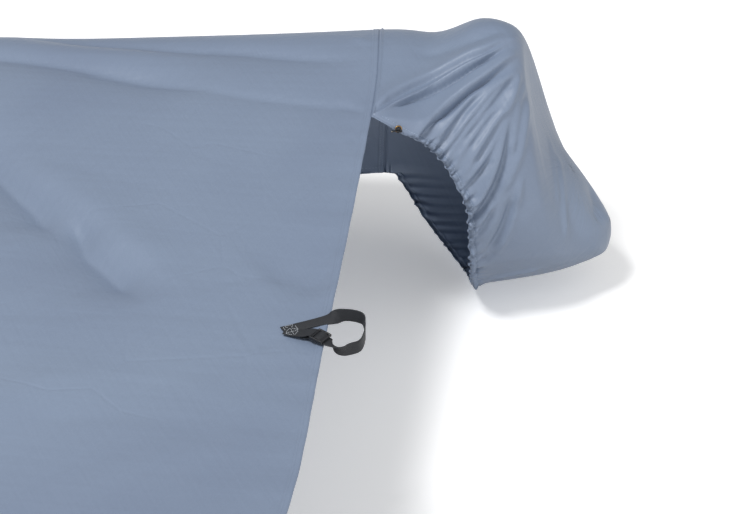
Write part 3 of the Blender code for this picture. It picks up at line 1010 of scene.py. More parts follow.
@dataclass
class MainPanel:
    """Deck, both hull tops and both outboard drops, cut and sewn as one panel."""

    thickness: float = 0.0009
    # Spacing of the rows of points: how fine it is by the stern and how far, and then how fast
    # and how far it grows.
    fine: float = 0.0080
    fine_reach: float = 0.62
    growth: float = 1.07
    coarse: float = 0.034
    bow_margin: float = 0.045
    # Rows beside the aft and forward hems, in mm from the edge.
    aft_rows: tuple[float, ...] = (
        0.0, 0.4, 1.0, 1.8, 2.6, 4.0, 5.4, 6.1, 6.6, 7.1, 7.8, 9.0, 9.8, 10.4, 11.4, 13.0, 16.0,
        20.0, 25.0, 31.0)
    bow_rows: tuple[float, ...] = (22.0, 12.0, 10.4, 9.8, 8.0, 6.6, 5.0, 2.5, 1.0, 0.0)
    # Columns of points: reach where a run of them starts and ends, and how many it has.
    middle_run: tuple[float, float, int] = (0.0, 0.05, 8)
    starboard_runs: tuple[tuple[float, float, int], ...] = (
        (0.05, 1.0, 66), (1.0, 2.0, 26), (2.0, 2.32, 20), (2.32, 2.965, 18))
    port_runs: tuple[tuple[float, float, int], ...] = (
        (2.94, 2.0, 24), (1.96, 1.0, 9), (0.97, 0.80, 7), (0.785, 0.05, 48))
    hem_reaches: tuple[float, ...] = (2.965, 2.975, 2.982, 2.988, 2.995, 3.0)
    # The turned hem: its width and rise, the slope of its inner edge, and how its outer one rolls.
    hem_width: float = 0.0100
    hem_rise: float = 0.0007
    hem_slope: float = 0.0008
    roll: float = 0.0016
    roll_width: float = 0.0018
    side_hem_from: float = 0.02     # the outboard hems start this far from the others
    stitched: Ridge = Ridge(-0.00035, 0.0066, 0.0007)   # the groove of its stitch line
    seam_stitch: float = 0.0018     # the felled seams' stitch line from the seam
    side_stitch: float = 2.985      # reach of the outboard hems' stitch line
    drop_girth: float = 0.51        # girth from the hull's top to that hem
    girth_row: int = 60             # the row along which girth is measured
    # Puckers along the hem and the band that they lie in, and the waves of its free edge and of
    # the drops.
    puckers: Waves = Waves(0.00022, 0.0105, 1.3, 31.0)
    puckered: Ridge = Ridge(1.0, 0.005, 0.007)
    free_reach: float = 0.97        # the aft hem is free up to here
    hem_waves: Waves = Waves(0.0010, 0.083, 1.1, 11.0, 0.7)
    hem_waves_reach: float = 0.05
    drop_waves: Waves = Waves(0.005, 0.133685, 1.7, 9.0)
    drop_angle: float = 22.0        # they start this many degrees above the outboard hem
    drop_ends: float = 0.15         # and end this far from the seams
    # Where the broad folds die out: at the hem, over the corner and by the hull.
    hem_calm: float = 0.4
    hem_calm_reach: float = 0.03
    corner_calm_x: float = 1.66
    corner_calm_reach: float = 0.045
    edge_calm_reach: float = 0.06
    edge_calm_start: float = 0.25
    hull_share: float = 0.25        # what is left of them on the hull, and how far round it
    hull_reach: float = 0.10
    leans_from: float = 1.2         # aft of this X the rows lean to the stern seam's line
    crease_margin: float = 0.030    # the creases die out this near to the aft hem
    creases_above: float = -0.12    # and all lie above this height
    name: str = "main_panel_cloth"
    # Broad folds: from, to; height; widths to port and starboard of the line. All in mm.
    broad: tuple[tuple[float, ...], ...] = (
        (200, 560, 950, 300, 8, 80, 80),
        (-900, 500, -250, 620, 8, 70, 80),
        (800, -660, 1680, -580, 7.5, 35, 55),
        (950, -520, 1400, -140, 7, 65, 60),
        (-200, -600, 600, -350, 8, 80, 80),
        (-1200, -560, -500, -330, 9, 80, 70),
        (-600, 60, 400, -40, 6, 90, 90),
    )
    creases: tuple[Crease, ...] = PANEL_CREASES

    def stations(self) -> np.ndarray:
        """Place the rows of points.

        Returns:
            Distances from the aft hem, up to the forward one.
        """
        rows = [value * MM for value in self.aft_rows]
        step = self.fine
        total = FORM.stern_x - FORM.bow_x
        while rows[-1] < total - self.bow_margin:
            rows.append(rows[-1] + step)
            if rows[-1] > self.fine_reach:
                step = min(step * self.growth, self.coarse)
        return np.array(rows + [total - value * MM for value in self.bow_rows])

    def reaches(self) -> np.ndarray:
        """Place the columns of points.

        Returns:
            Their reach, negative to port: 1 at the corner, 2 at the hull and 3 at the outboard hem.
        """
        start, end, count = self.middle_run
        starboard = [np.linspace(*run, endpoint=False)
                     for run in (self.middle_run, *self.starboard_runs)]
        port = [np.linspace(*run) for run in self.port_runs]
        port.append(np.linspace(end, start, count, endpoint=False)[1:])
        return np.concatenate([-np.concatenate([self.hem_reaches[::-1], *port]), *starboard,
                               self.hem_reaches])

    def base(self, back: np.ndarray, reach: np.ndarray) -> np.ndarray:
        """Panel without its fine folds.

        Args:
            back: Distance of each row from the aft hem.
            reach: Signed reach of each column.

        Returns:
            Points as rows by columns by 3.
        """
        x0, signed = np.meshgrid(FORM.stern_x - back, reach, indexing="ij")
        side, r = np.where(signed < 0.0, -1.0, 1.0), np.abs(signed)
        near_stern = ease((x0 - self.leans_from) / (FORM.stern_x - self.leans_from))
        flat = FORM.deck_edge(x0)
        y = np.where(r <= 1.0, r * FORM.corner_y,
                     FORM.corner_y + (flat - FORM.corner_y) * (np.minimum(r, 2.0) - 1.0))
        turn = np.arctan2(y - FORM.hull_y, FORM.deck_profile(x0, y) - FORM.hull_height(x0))
        start = -FORM.lean(x0)
        round_turn = start + (FORM.hem_angle - start) * (np.maximum(r, 2.0) - 2.0)
        turn = np.where(r <= 2.0, turn, round_turn)
        x = x0 - FORM.skew(turn) * near_stern
        calm = 1.0 - self.hem_calm * ease((x - FORM.stern_x) / self.hem_calm_reach + 1.0)
        calm = calm * np.where(
            r > 1.0, 1.0 - ease((x0 - self.corner_calm_x) / self.corner_calm_reach), 1.0)
        deck = FORM.deck_profile(x, y) + (
            self.folds(x, side * y) * calm
            * ease((flat - y) / self.edge_calm_reach + self.edge_calm_start))
        radius = FORM.hull_radius(x)
        round_y = FORM.hull_y + radius * np.sin(turn)
        gone = radius * (turn - start)
        hull = (FORM.hull_height(x) + radius * np.cos(turn)
                + self.folds(x, side * round_y) * self.hull_share
                * ease(1.0 - gone / self.hull_reach) * calm)
        drop = ease((np.degrees(turn - FORM.hem_angle) + self.drop_angle) / self.drop_angle)
        drop = (drop * ease((FORM.stern_x - x) / self.drop_ends)
                * ease((x - FORM.bow_x) / self.drop_ends))
        round_y = round_y - drop * (self.drop_waves.height + self.drop_waves.at(x))
        bulge = FORM.hem_bulge * near_stern * np.sin(np.pi * np.minimum(r, 1.0) ** 1.7)
        x = x + np.where((side < 0) & (r < 1.0), bulge, 0.0)
        on_hull = r > 2.0
        return np.stack([x, side * np.where(on_hull, round_y, y), np.where(on_hull, hull, deck)],
                        axis=-1)

    def folds(self, x: np.ndarray, y: np.ndarray) -> np.ndarray:
        """Height of the broad folds.

        Args:
            x: Places along the boat.
            y: Places across it, of the same shape.

        Returns:
            Heights, in that shape.
        """
        total = np.zeros_like(x)
        for x0, y0, x1, y1, height, port, starboard in np.array(self.broad) * MM:
            dx, dy = x1 - x0, y1 - y0
            size = math.hypot(dx, dy)
            share = ((x - x0) * dx + (y - y0) * dy) / (size * size)
            across = ((y - y0) * dx - (x - x0) * dy) / size
            ends = ease((share + 0.15) / 0.35) * ease((1.12 - share) / 0.25)
            total += height * ends * bell(across, np.where(across > 0.0, starboard, port))
        return total

    def on_cloth(self, line: np.ndarray, places: np.ndarray) -> np.ndarray:
        """Points of a line of the plan on the cloth.

        Args:
            line: The line's points, as X and Y.
            places: Points of the cloth.

        Returns:
            The line's points with their heights.
        """
        high = places[places[:, 2] > self.creases_above]
        gap = np.linalg.norm(high[None, :, :2] - line[:, None], axis=2)
        return np.concatenate([line, high[gap.argmin(axis=1), 2][:, None]], axis=1)

    def hem_profile(self, t: np.ndarray) -> np.ndarray:
        """Rise of the turned and stitched hem.

        Args:
            t: Distances from its edge.

        Returns:
            Heights, in that shape.
        """
        band = self.hem_rise * ease((self.hem_width - t) / self.hem_slope + 0.5)
        edge = -self.roll * ease(1.0 - t / self.roll_width)
        return band + edge + self.stitched.at(t)

    def facing(self, grid: np.ndarray) -> np.ndarray:
        """Outward normals of the cloth."""
        normal = grid_normals(grid, False)
        return normal * np.sign(normal[..., 2:].mean())

    def grid(self) -> tuple[np.ndarray, np.ndarray]:
        """Lay the cloth out with all its folds.

        Returns:
            Points of its outer face, and their places in the flat cloth.
        """
        back, reach = self.stations(), self.reaches()
        grid = self.base(back, reach)
        normal = self.facing(grid)
        shape = grid.shape[:2]
        rise = np.zeros(shape)
        places, facing = grid.reshape(-1, 3), normal.reshape(-1, 3)
        hem = ease(back / self.crease_margin)[:, None]
        for crease in self.creases:
            line = self.on_cloth(through(crease.line, 20), places)
            rise += hem * crease.near(places, line, facing).reshape(shape)
        girth = travelled(grid[self.girth_row])
        s = (girth - np.interp(0.0, reach, girth))[None, :]
        t = np.broadcast_to(back[:, None], shape)
        fore = back[-1] - t
        edge = (3.0 - np.abs(reach))[None, :] * self.drop_girth
        rise += self.hem_profile(t) + self.hem_profile(fore)
        beside = np.minimum(t, fore) > self.side_hem_from
        rise += np.where(beside, self.hem_profile(edge), 0.0)
        rise += self.puckers.at(s) * self.puckered.at(t)
        free = (np.abs(reach) < self.free_reach)[None, :]
        rise += free * self.hem_waves.at(s) * np.exp(-t / self.hem_waves_reach)
        grid = grid + normal * rise[..., None]
        return grid, np.stack([t, np.broadcast_to(s, shape)], axis=-1)

    def build(self) -> bpy.types.Object:
        """Make the panel.

        Returns:
            Its cloth.
        """
        grid, flat = self.grid()
        cloth = enter(cloth_sheet(self.name, grid, flat, self.thickness),
                      "main_panel")
        self.sew(grid)
        return cloth

    def sew(self, grid: np.ndarray) -> None:
        """Stitch the hems and the felled seams.

        Args:
            grid: Points of the cloth's outer face.
        """
        normal = self.facing(grid)
        back, reach = self.stations(), self.reaches()
        seam = int(np.argmin(np.abs(back - self.seam_stitch)))
        parts = []
        for distance in (self.stitched.place, back[-1] - self.stitched.place):
            row = int(np.argmin(np.abs(back - distance)))
            parts.append(HEM_STITCH.row(grid[row], normal[row]))
        for side in (-1.0, 1.0):
            over = reach * side >= 1.0
            parts.append(HEM_STITCH.row(grid[seam][over], normal[seam][over]))
            column = int(np.argmin(np.abs(reach - side * self.side_stitch)))
            parts.append(DROP_STITCH.row(grid[2:-2, column], normal[2:-2, column]))
        enter(link_mesh("main_panel_stitching", joined(parts), THREAD_FINISH))


# ---------------------------------------------------------------- hoods
class End(Enum):
    """Which end of the boat a hood is for: its value is the way that it points along X."""

    STERN = 1
    BOW = -1


# Sections of a hood: distance from the seam and height of the section's top, then of its bottom,
# and half its width, in mm, and how much narrower it is above than below.
SECTIONS = {
    End.STERN: (
        (-200, 196, -200, -236, 216, 0),
        (0, 216, 0, -216, 216, 0),
        (80, 217, 100, -207, 209, 0),
        (150, 251, 190, -197, 192, 0.05),
        (200, 250, 262, -184, 165, 0.15),
        (224, 229, 303, -174, 140, 0.25),
        (233, 187, 326, -167, 120, 0.3),
        (245, 132, 343, -162, 104, 0.25),
        (276, 55, 360, -156, 86, 0.15),
        (322, -12, 378, -145, 64, 0.05),
        (360, -64, 384, -122, 36, 0),
        (380, -90, 383, -102, 6, 0),
    ),
    End.BOW: (
        (-200, 163, -200, -249, 206, 0),
        (0, 195, 0, -195, 195, 0),
        (160, 231, 180, -128, 178, 0),
        (340, 276, 380, -35, 150, 0.05),
        (480, 300, 530, 52, 115, 0.1),
        (570, 298, 610, 115, 78, 0.1),
        (620, 272, 640, 165, 45, 0.05),
        (645, 235, 648, 215, 8, 0),
    ),
}
# The elastic hem: angle round the hull from its top, inboard negative, and distance from the seam.
HEMS = {
    End.STERN: (
        (-47.5, 0.000), (-52.0, 0.046), (-54.0, 0.070), (-58.0, 0.090), (-66.0, 0.112),
        (-74.0, 0.128), (-86.0, 0.147), (-100.0, 0.155), (-145.0, 0.157), (-170.0, 0.147),
        (-190.0, 0.115), (-212.0, 0.060), (-235.0, 0.000),
    ),
    End.BOW: (
        (-46.0, 0.000), (-56.0, 0.080), (-75.0, 0.150), (-110.0, 0.190), (-150.0, 0.190),
        (-180.0, 0.160), (-205.0, 0.090), (-235.0, 0.000),
    ),
}
# Rows of points by a hood's hem, in mm: distance from the edge and rise of the elastic's channel.
CHANNEL = (
    (1.6, -2.4), (0.5, -2.3), (0.0, -1.2), (0.0, 0.4), (0.8, 1.9), (2.2, 2.9), (4.0, 3.3),
    (5.8, 2.9), (7.4, 1.9), (8.8, 0.6), (9.8, -0.4), (10.8, -0.2), (12.4, 0.2), (14.5, 0.3),
    (17.5, 0.2), (21.0, 0.0), (25.0, 0.0), (30.0, 0.0),
)

# Folds of the stern hoods: each one's line from its apex to the hem, as distance in mm and angle;
# its height and its half widths on either side, in mm; how its ends fade and how pointed it is.
# The cloth is drawn in steps: it rises slowly to a ridge, then drops steeply into a hollow.
STERN_CREASES = creases((
    (((200, 3), (173, -8), (142, -11), (109, -8), (77, -8), (46, -13)), -5, 15, 16, 0.25, 0.3),
    # The broad fold above the sharp one, and the narrow groove between them.
    (((215, 4), (190, -14.5), (160, -20), (129, -21.5), (98, -22.5), (67, -26), (38, -33),
      (18, -39.5)), 6.2, 4, 18, 0.16, 0.3),
    (((217, 1.4), (191, -17), (161, -22.6), (130, -24), (98, -25), (68, -28.4), (39, -36),
      (18, -41.5)), -2.8, 3.8, 2.6, 0.12, 0.4),
    # The sharp fold from the free corner and the deep hollow under it.
    (((218, -2), (191, -19), (161, -24.7), (130, -27.2), (99, -29), (70, -33), (41, -40),
      (20, -44.4), (5, -47.3)), 6, 3.4, 3.8, 0.04, 0.6),
    (((218, -8), (192, -22.6), (162, -28.4), (132, -31.2), (101, -33.2), (71, -37), (50, -41),
      (34, -43.6)), -3.4, 13, 4.6, 0.4, 0.5),
    (((218, -5.2), (192, -20.8), (162, -26.6), (132, -29.4), (101, -31.4), (71, -35.2),
      (50, -39.2), (34, -42.2)), -10, 2.8, 2.4, 0.45, 0.4),
    (((210, -10), (198, -17.4), (178, -24), (156, -27.6), (133, -29.8), (110, -31.2),
      (88, -33.2)), -4.8, 3.4, 2.4, 0.4, 0.3),
    (((219, -16), (193, -29), (164, -35.6), (134, -39), (119, -41.2), (104, -44), (90, -47),
      (80, -49.6)), 7, 4.5, 12, 0.08, 0.5),
    (((219, -22), (194, -33.3), (180, -37), (165, -39.8), (150, -41.8), (135, -43.6), (120, -45.8),
      (106, -48), (94, -50)), -3, 11, 4.2, 0.09, 0.5),
    (((219, -20.4), (194, -32), (180, -35.8), (165, -38.6), (150, -40.6), (135, -42.6),
      (120, -44.8), (106, -47.2), (94, -49.4)), -9.2, 3.2, 2.6, 0.32, 0.3),
    (((171, -39.5), (150, -43.7), (136, -46.8), (121, -50.3),
      (108, -53.6)), 4.6, 4.5, 9, 0.16, 0.5),
    (((174, -41.6), (151, -46.4), (137, -50), (125, -53.6),
      (116, -56.4)), -5.2, 8, 4.2, 0.16, 0.5),
    (((210, -33.6), (195, -39), (181, -43.4), (166, -47.6), (152, -51.4), (138, -55),
      (123, -58.4)), 4.6, 3.8, 7.5, 0.12, 0.5),
    (((204, -37.4), (188, -43.2), (174, -47.8), (160, -52), (145, -56),
      (134, -59)), -4, 5, 3.6, 0.14, 0.5),
    (((220, -30), (204, -38.2), (189, -44.2), (174, -49.4), (160, -53.6), (146, -57.3),
      (131, -60.8)), 4.2, 3.4, 4.8, 0.08, 0.5),
    (((219, -35.6), (204, -42.6), (190, -48), (175, -52.6), (161, -56.8),
      (146, -60.6)), -4.8, 6.2, 3.6, 0.1, 0.5),
    # Short puckers that stop halfway up, under a kinked patch.
    (((191, -49.6), (180, -53), (169, -56.6), (154, -61), (144, -64.3)), 3.6, 3.4, 5, 0.12, 0.5),
    (((194, -51.6), (183, -55.4), (169, -60), (155, -64.6)), -4.6, 5.5, 3.6, 0.12, 0.5),
    (((206, -51), (194, -55.8), (182, -60.3), (170, -64.8), (159, -69.4)), 4.6, 3.4, 6, 0.1, 0.5),
    (((209, -53), (199, -58), (188, -62.8), (177, -67.3), (164, -71.9)), -6.2, 6.2, 3.6, 0.1, 0.5),
    (((221, -35), (214, -46.8), (206, -55), (197, -61.7), (186, -67.5), (171, -72.5),
      (149, -78.3)), 4.2, 3.6, 6, 0.1, 0.5),
    (((218, -45), (212, -53.2), (206, -58.6), (199, -63.6), (190, -69), (176, -74.4),
      (154, -80)), -4.6, 6, 3.6, 0.12, 0.5),
    (((163, -78), (175, -75.6), (184, -73.4), (193, -72)), -3, 3.6, 3.6, 0.25, 0.4),
    # The long hollow that ends by the lower hem, between two ridges.
    (((223.5, -29), (221, -38.5), (216, -50), (209, -59), (206, -64.6), (202, -69.4), (198, -74),
      (191, -79), (182, -83.5), (172, -87), (160, -90)), 6.2, 4, 7.5, 0.07, 0.5),
    (((221, -49), (217, -57), (214, -64), (211, -70), (207, -75), (202, -79.6), (195, -84.2),
      (185, -89), (171, -92.6), (156, -94.8)), -9.2, 6, 3.8, 0.22, 0.5),
    (((239, -79), (235, -86.5), (231, -95), (225, -102), (218, -108.4), (209, -113.6),
      (201, -119.4)), 6, 4, 7, 0.22, 0.5),
    (((227, -85), (222, -92), (216, -98), (209, -103.4), (200, -108.2),
      (190, -113.4)), -6, 6.5, 4, 0.25, 0.5),
    (((229, -38.6), (225, -52.4), (220, -63), (216, -70)), 3, 3, 5, 0.12, 0.4),
    (((230, -44), (225, -57), (222, -66)), -3, 3.6, 3, 0.14, 0.4),
    (((234, -34), (230, -52.3), (225, -63.5), (219, -72.7)), 3.6, 3.4, 5.5, 0.12, 0.4),
    (((236, -38), (232, -54.6), (229, -65.4), (224, -74)), -4, 5.5, 3.6, 0.14, 0.4),
    (((242, -40), (238, -61.4), (232, -71), (222, -80), (208, -87.4)), 4, 6.5, 9, 0.14, 0.3),
    (((195, -88.8), (187, -93.9), (178, -97.5), (167, -101.6)), 3.4, 3.6, 6, 0.2, 0.4),
    (((194, -92), (188, -96.4), (179, -100.5), (170, -103.9)), -4.6, 6, 3.6, 0.2, 0.4),
    (((233, -90), (227, -98.5), (219, -105.5), (211, -111.5),
      (200, -116.5)), -4, 6, 12, 0.16, 0.4),
    (((207, -113), (191, -118), (173, -121)), -3.4, 8, 8, 0.3, 0.2),
    (((171, -123.6), (167, -128.7), (156, -131.2)), -7, 5, 5, 0.3, 0.4),
    (((170, -141), (206, -138.6), (239, -137.6), (279, -138)), 4, 6, 6, 0.2, 0.3),
    # The lines down the aft face, and the hollow over the tail of the hull.
    (((274, 2), (280, -19), (285, -40), (293, -70), (296, -87)), 2.4, 5, 4, 0.16, 0.4),
    (((285, -9), (294, -36), (300, -61), (306, -90), (312, -122)), 3.6, 11, 4.8, 0.14, 0.5),
    (((345, 50), (360, -9), (364, -83)), -7.2, 20, 20, 0.3, 0.5),
), (MM, 1.0))


# The folds that the port stern hood has too: those that leave the free corner.
PORT_CREASES = STERN_CREASES[:9]


@dataclass
class Hood:
    """A hood over one hull end: a bag from its seam and elastic hem to the tip of the hull."""

    node: str
    end: End
    side: int                       # 1 to starboard, -1 to port
    creases: tuple[Crease, ...] = ()
    detail: float = 1.0             # 1 where it is seen close, less where it may be coarser
    apex_angle: float = -4.0        # where the cloth from the free corner runs to
    thickness: float = 0.0009
    # Along the seam the cloth stands off the hull with the panel; below the free corner that
    # dies out over these degrees, and aft of the seam over this distance.
    stand_spread: float = 12.0
    stand_reach: float = 0.17
    # Columns of points on the panel's edge, on the hull's top to this angle, and on its side.
    seam_columns: int = 40
    top_columns: int = 44
    side_columns: int = 20
    top_angle: float = math.radians(40.0)
    seam_gap: float = 0.0003        # from the seam's line to the cloth
    # Columns along the elastic hem: their spacing, how far they stay that fine, at most as a
    # length and as a share of the hem, and how much coarser they are after.
    hem_step: float = 0.0021
    fine_hem: float = 0.44
    fine_share: float = 0.6
    coarser: float = 3.2
    # Where columns end round the tip: from hem length, and from the angle at the seam.
    hem_ends: tuple[tuple[float, float], ...] = ((0.10, -36.0), (0.42, -139.0))
    last_end: float = -235.0
    seam_ends: tuple[tuple[float, float], ...] = ((-10.0, 16.0), (125.0, 125.0))
    turned_by: float = 0.5          # they have turned to it after this share of their run
    rows: int = 84                  # rows of points from the channel to the tip
    # The gathers start this far along the hem from the free corner and grow over this length.
    gather_from: float = 0.055
    gather_over: float = 0.03
    gathers: Waves = Waves(0.0028, 0.024, 2.2, 1.0 / 0.06)
    gather_reach: float = 0.045
    channel_width: float = 0.008
    # Beads of the channel and smaller ones between: spacing, how much they swell it, and the
    # ridge that they raise beside it.
    bead_pitch: float = 0.0195
    bead_swell: float = 0.75
    bead_ridge: Ridge = Ridge(0.0044, 0.009, 0.011)
    small_pitch: float = 0.0074
    small_swell: float = 0.30
    small_ridge: Ridge = Ridge(0.0018, 0.005, 0.007)
    plain_tube: float = 0.35        # height of the channel where it isn't gathered
    channel_from: float = 0.02      # it rises over this length of hem from the free corner
    scallop: float = 0.0022         # the beads push the hem's edge in and out by this much
    placed_folds: float = 0.40      # the hem's folds are placed one by one up to here
    placed_fade: float = 0.05
    seam_roll: Ridge = Ridge(0.0026, 0.0040, 0.0019)    # the felled seam beside the panel
    runs_in: float = 0.040          # folds that end nearer than this to the hem run into it
    regain: float = 1.20            # height given back to the folds after they are softened
    hem_calm: float = 0.010         # folds die out this far from the hem, and from the tip
    tip_calm: float = 0.05
    sewn_row: int = 10              # the row of points that the channel is stitched along
    sewn_from: float = 0.004        # length of hem from the corner to the first stitch
    seam_x: float = field(init=False)
    centre: float = field(init=False)
    radius: float = field(init=False)
    table: np.ndarray = field(init=False)
    last: float = field(init=False)             # number of the last section
    # Points of the panel's edge: distance from the centre line, and angle and distance from the
    # hull's surface.
    seam_y: np.ndarray = field(init=False)
    seam_angle: np.ndarray = field(init=False)
    seam_off: np.ndarray = field(init=False)

    def __post_init__(self) -> None:
        """Work out where the hood starts."""
        self.seam_x = FORM.stern_x if self.end is End.STERN else FORM.bow_x
        start = np.float64(self.seam_x)
        self.centre = float(FORM.hull_height(start))
        self.radius = float(FORM.hull_radius(start))
        self.table = np.array(SECTIONS[self.end]) * ([MM] * 5 + [1.0])
        self.last = len(self.table) - 1.0
        share = np.linspace(0.0, 1.0, self.count(self.seam_columns, 8)) ** 1.5
        self.seam_y = FORM.corner_y + (float(FORM.deck_edge(start)) - FORM.corner_y) * share
        rise = FORM.deck_profile(start, self.seam_y) - self.centre
        run = self.seam_y - FORM.hull_y
        self.seam_angle = np.arctan2(run, rise)
        self.seam_off = np.hypot(run, rise) - self.radius

    def count(self, full: int, least: int) -> int:
        """Number of columns at the hood's level of detail."""
        return max(int(full * self.detail), least)

    def gathered(self, s: np.ndarray) -> np.ndarray:
        """Share of the full gathering at lengths of hem from the free corner."""
        return ease((s - self.gather_from) / self.gather_over)

    def skin(self, at: np.ndarray, angle: np.ndarray) -> np.ndarray:
        """Points of the hull form, on the starboard side.

        Args:
            at: Section numbers, with fractions.
            angle: Angles round the hull from its top.

        Returns:
            Points, in the arrays' shape with one more axis.
        """
        top_d, top_z, bot_d, bot_z, half, egg = np.moveaxis(blend_rows(self.table, at), -1, 0)
        c, s = np.cos(angle), np.sin(angle)
        d = (top_d + bot_d) / 2 + (top_d - bot_d) / 2 * c
        z = (top_z + bot_z) / 2 + (top_z - bot_z) / 2 * c
        return np.stack([self.seam_x + self.end.value * d,
                         FORM.hull_y + half * s * (1 - egg * c), self.centre + z], axis=-1)

    def surface(self, at: np.ndarray, angle: np.ndarray) -> np.ndarray:
        """Points of the cloth before its folds, on the starboard side.

        Args:
            at: Section numbers, with fractions.
            angle: Angles round the hull from its top.

        Returns:
            Points, in the arrays' shape with one more axis.
        """
        points = self.skin(at, angle)
        away = self.end.value * (points[..., 0] - self.seam_x)
        corner = self.seam_angle[0]
        below = (np.degrees(corner) - np.degrees(angle)) / self.stand_spread
        off = np.where(angle < corner, self.seam_off[0] * np.exp(-below ** 2),
                       np.interp(angle, self.seam_angle, self.seam_off, right=0.0))
        off = off * (1.0 - ease(away / self.stand_reach)) * ease((self.last - at) / 2.0)
        return points + off[..., None] * np.stack(
            [np.zeros_like(angle), np.sin(angle), np.cos(angle)], axis=-1)

    def section_at(self, distance: np.ndarray, angle: np.ndarray) -> np.ndarray:
        """Find the sections where the hull lies at distances from the seam.

        Args:
            distance: Distances from the seam.
            angle: Angles round the hull from its top.

        Returns:
            Section numbers, with fractions.
        """
        low, high = np.zeros_like(angle), np.full_like(angle, self.last)
        for _ in range(26):
            mid = (low + high) / 2
            short = self.end.value * (self.skin(mid, angle)[..., 0] - self.seam_x) < distance
            low, high = np.where(short, mid, low), np.where(short, high, mid)
        return low

    def edge(self) -> tuple[np.ndarray, np.ndarray, np.ndarray]:
        """Start of each column of cloth.

        Returns:
            Angle and distance from the seam of each start, and the hem's length from the free
            corner to it, which is negative along the seam.
        """
        start = -float(FORM.lean(np.float64(self.seam_x)))
        top = np.linspace(start, self.top_angle, self.count(self.top_columns, 8))[1:]
        rest = np.linspace(self.top_angle, FORM.hem_angle, self.count(self.side_columns, 7))[1:]
        seam = np.concatenate([self.seam_angle, top, rest])
        seam_d = np.full_like(seam, self.seam_gap)
        if self.end is End.STERN:
            seam_d = seam_d - FORM.skew(seam)
        hem = through(HEMS[self.end], 500)
        hem[:, 0] = np.radians(hem[:, 0])
        hem[:, 1] = np.maximum(hem[:, 1], self.seam_gap)
        hem[0, 0] = self.seam_angle[0]
        line = self.surface(self.section_at(hem[:, 1], hem[:, 0]), hem[:, 0])
        whole = length_of(line)
        step = self.hem_step / self.detail
        fine = min(self.fine_hem, whole * self.fine_share)
        places = [step * k for k in range(1, int(fine / step))]
        while places[-1] + self.coarser * step < whole:
            places.append(places[-1] + self.coarser * step)
        s = np.array(places[::-1])
        both = along(np.concatenate([line, hem], axis=1), s)
        both[:, 4] += self.scallop * (self.beads(s)[0] + 0.4) * self.gathered(s)
        gone = travelled(self.surface(self.section_at(seam_d, seam), seam))
        return (np.concatenate([seam, both[:, 3]]), np.concatenate([seam_d, both[:, 4]]),
                np.concatenate([-gone, s]))

    def paths(self) -> tuple[np.ndarray, np.ndarray, np.ndarray]:
        """Base grid of the hood.

        Returns:
            Points as rows by columns by 3, each row's distance along its column, and the hem's
            length to each column.
        """
        angle, distance, s = self.edge()
        first = self.section_at(distance, angle)
        degrees = np.degrees(angle)
        from_hem, hem_ends = zip(*self.hem_ends)
        from_seam, seam_ends = zip(*self.seam_ends)
        hem_end = np.interp(s, [0.0, *from_hem, float(s.max()) + 0.01],
                            [self.apex_angle, *hem_ends, self.last_end])
        seam_end = np.interp(degrees, [degrees[0], *from_seam], [self.apex_angle, *seam_ends])
        end = np.where(s <= 0.0, seam_end, hem_end)
        tau = np.linspace(0.0, 1.0, 220)[:, None]
        quick = 1.0 - (1.0 - np.clip(tau / self.turned_by, 0.0, 1.0)) ** 2
        dense = self.surface(first + (self.last - first) * tau,
                             np.radians(degrees + (end - degrees) * quick))
        channel = np.array(CHANNEL)[:, 0] * MM
        rest = np.linspace(0.0, 1.0, int(self.rows * self.detail) + 1)[1:]
        columns = []
        for path in dense.transpose(1, 0, 2):
            left = length_of(path) - channel[-1]
            rows = np.concatenate([channel, channel[-1] + left * rest])
            columns.append(np.concatenate([along(path, rows), rows[:, None]], axis=1))
        grid = np.stack(columns, axis=1)
        return grid[..., :3], grid[..., 3], s

    def rise(self, grid: np.ndarray, normal: np.ndarray, t: np.ndarray,
             s: np.ndarray) -> np.ndarray:
        """Height of the channel, beads, gathers and folds.

        Args:
            grid: Points of the cloth before them, rows by columns by 3.
            normal: Its outward normals.
            t: Each point's distance along its column.
            s: Length of hem to each column.

        Returns:
            Heights by row and column.
        """
        on_hem, free = ease(s / self.channel_from), self.gathered(s)
        bead, small = self.beads(s)
        channel = np.zeros((len(t), 1))
        channel[:len(CHANNEL), 0] = np.array(CHANNEL)[:, 1] * MM
        tube = self.plain_tube + (1.0 - self.plain_tube) * free
        swell = 1.0 + free * (self.bead_swell * bead + self.small_swell * small)
        lift = channel * on_hem * tube * swell
        lift += free * (bead * self.bead_ridge.at(t) + small * self.small_ridge.at(t))
        lift += (1.0 - on_hem) * self.seam_roll.at(t)
        unplaced = ease((s - self.placed_folds) / self.placed_fade) if self.creases else 1.0
        drawn = (np.exp(-np.maximum(t - self.channel_width, 0.0) / self.gather_reach)
                 * ease(t / (1.5 * self.channel_width)))
        lift += free * unplaced * self.gathers.at(s) * drawn
        folds = np.zeros(t.shape)
        for crease in self.creases:
            line = fair(crease.line, 30)
            path = self.on_skin(line)
            if np.linalg.norm(grid[0] - path[-1], axis=1).min() < self.runs_in:
                step = (line[-1] - line[-2]) * self.runs_in / np.linalg.norm(path[-1] - path[-2])
                path = np.concatenate([path, self.on_skin(
                    line[-1] + step * np.linspace(0.2, 1.0, 5)[:, None])])
            folds += crease.near(grid.reshape(-1, 3), path, normal.reshape(-1, 3)).reshape(t.shape)
        lift += self.regain * soften(folds) * ease(t / self.hem_calm)
        return lift * ease((t.max(axis=0) - t) / self.tip_calm)

    def on_skin(self, line: np.ndarray) -> np.ndarray:
        """Points of the cloth before its folds, from rows of distance and angle in degrees."""
        angle = np.radians(line[:, 1])
        return self.surface(self.section_at(line[:, 0], angle), angle)

